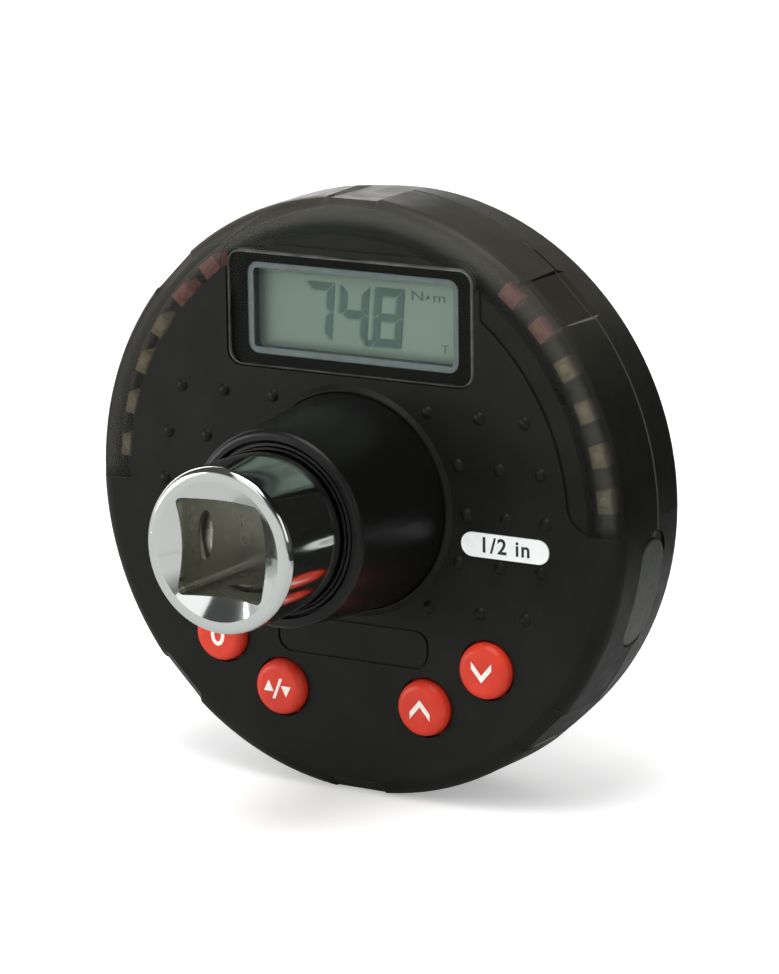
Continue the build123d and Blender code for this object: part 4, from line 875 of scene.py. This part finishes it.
def run_tree(tree, name, body, values):
    """Runs a tree once with these inputs and keeps the result as a plain mesh."""
    piece = bpy.data.objects.new(name, bpy.data.meshes.new(name))
    bpy.context.scene.collection.objects.link(piece)
    modifier = piece.modifiers.new("repeat", "NODES")
    modifier.node_group = tree
    for item in tree.interface.items_tree:
        if item.in_out == "INPUT":
            modifier[item.identifier] = values[item.name]
    bpy.context.view_layer.update()
    made = piece.evaluated_get(bpy.context.evaluated_depsgraph_get())
    mesh = bpy.data.meshes.new_from_object(made)
    piece.modifiers.clear()
    piece.data = mesh
    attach(piece, body)
    depths = [vertex.co.y / mm for vertex in mesh.vertices]
    span = [round(min(depths), 2), round(max(depths), 2)]
    print(name, "faces:", len(mesh.polygons), "depth in mm:", span)


# %% Chips in the light blocks
tree, given, result = repeat_tree("light_chips", {
    "Pairs": "Int", "Ring Radius": "Float", "First Angle": "Float", "Sweep": "Float",
    "Ring Middle": "Vector", "Foot Radius": "Float", "Top Radius": "Float", "Height": "Float",
    "Material": "Material"})
arc = add_node(tree, "GeometryNodeCurveArc", {
    "Resolution": given["Pairs"], "Radius": given["Ring Radius"],
    "Start Angle": given["First Angle"], "Sweep Angle": given["Sweep"]}).outputs[0]
right_side = add_node(tree, "GeometryNodeTransform", {
    "Geometry": arc, "Rotation": (math.radians(90), 0, 0),
    "Translation": given["Ring Middle"]}).outputs[0]
left_side = add_node(tree, "GeometryNodeTransform", {
    "Geometry": right_side, "Scale": (-1, 1, 1)}).outputs[0]
both = add_node(tree, "GeometryNodeJoinGeometry", {"Geometry": right_side})
tree.links.new(left_side, both.inputs["Geometry"])
tapered = add_node(tree, "GeometryNodeMeshCone", {
    "Vertices": 24, "Side Segments": 3, "Radius Bottom": given["Foot Radius"],
    "Radius Top": given["Top Radius"], "Depth": given["Height"]}).outputs[0]
chip = add_node(tree, "GeometryNodeTransform", {
    "Geometry": tapered, "Rotation": (math.radians(90), 0, 0)}).outputs[0]
set_along(tree, both.outputs[0], chip, given["Material"], result[0])

light_step = math.radians(9.3)
ring_middle = Vector((0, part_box("amber_lights")[0].y, 0))
ring = {"Ring Radius": 37.7 * mm, "Ring Middle": ring_middle, "Foot Radius": 0.75 * mm,
        "Top Radius": 0.525 * mm, "Height": 0.12 * mm}
run_tree(tree, "amber_light_chips", "root", {
    **ring, "Pairs": 4, "First Angle": math.radians(5.0), "Sweep": 3 * light_step,
    "Material": lens_epoxy})
run_tree(tree, "red_light_chips", "root", {
    **ring, "Pairs": 2, "First Angle": math.radians(42.2), "Sweep": light_step,
    "Material": red_lens})

# %% Thumb ribs on the battery doors
tree, given, result = repeat_tree("thumb_ribs", {
    "Count": "Int", "First Place": "Vector", "Step": "Vector", "Half Size": "Vector",
    "Material": "Material"})
line = add_node(tree, "GeometryNodeMeshLine", {
    "Count": given["Count"], "Start Location": given["First Place"], "Offset": given["Step"]}).outputs[0]
ball = add_node(tree, "GeometryNodeMeshUVSphere", {"Segments": 24, "Rings": 12, "Radius": 1.0}).outputs[0]
rib = add_node(tree, "GeometryNodeTransform", {"Geometry": ball, "Scale": given["Half Size"]}).outputs[0]
set_along(tree, line, rib, given["Material"], result[0])

rib_count = 6
rib_step = Vector((0, 0, 2)) * mm
for side in ("right", "left"):
    door = middle("battery_door_" + side)
    door.y = back_y
    run_tree(tree, "thumb_ribs_" + side, "battery_door_" + side, {
        "Count": rib_count, "First Place": door - rib_step * (rib_count - 1) / 2, "Step": rib_step,
        "Half Size": Vector((6.0, 0.4, 0.45)) * mm, "Material": rear_abs})

# %% [markdown]
# ## The floor
# A plain pale floor carries the adapter, which stands on its rim. The floor is matt and takes a
# soft shadow. For camera and glass rays it is a little brighter, so that it runs into the white
# of the world without a horizon. In the mirror of the rim and the chrome it shows as grey
# paper whose lit patch ends behind the object, at the right.

# %% Make the floor
def paper_floor(name):
    """Matt white paper that is brighter where it is looked at and darker in far reflections."""
    lift, lit_patch_end_mm, soft_mm = 0.35, 135, 45
    material, tree, place = blank_material(name)
    rays = add_node(tree, "ShaderNodeLightPath").outputs
    looked_at = add_node(tree, "ShaderNodeMath", {
        0: rays["Is Camera Ray"], 1: rays["Is Transmission Ray"]}, operation="MAXIMUM").outputs[0]
    glow = add_node(tree, "ShaderNodeMath", {0: looked_at, 1: lift}, operation="MULTIPLY").outputs[0]
    rightness = add_node(tree, "ShaderNodeVectorMath", {
        0: place, 1: to_far_right}, operation="DOT_PRODUCT").outputs["Value"]
    white = blend_colours(tree, mottle(tree, place, 60.0, 0.0, 1.0), "#F3F3F2", "#F0F0EF")
    far = rises(tree, rightness, lit_patch_end_mm, soft_mm)
    mirrored = blend_colours(tree, far, "#D4D5D4", "#2A2A2A")
    paper = add_node(tree, "ShaderNodeBsdfPrincipled", {
        "Base Color": blend_colours(tree, rays["Is Glossy Ray"], white, mirrored),
        "Roughness": 0.9, "Specular IOR Level": 0.1, "Emission Color": linear("#FFFFFF"),
        "Emission Strength": glow})
    add_node(tree, "ShaderNodeOutputMaterial", {"Surface": paper.outputs[0]})
    return material


def flat_sheet(name, half, z):
    """A level square whose half side is half, with its top facing up."""
    mesh = bpy.data.meshes.new(name)
    corners = [(-half, -half, z), (half, -half, z), (half, half, z), (-half, half, z)]
    mesh.from_pydata(corners, [], [(0, 1, 2, 3)])
    sheet = bpy.data.objects.new(name, mesh)
    bpy.context.scene.collection.objects.link(sheet)
    return sheet


floor = flat_sheet("studio_floor", 0.55, floor_z)
floor.data.materials.append(paper_floor("paper_white_matt"))
print("floor at z", round(floor_z / mm, 2), "mm")
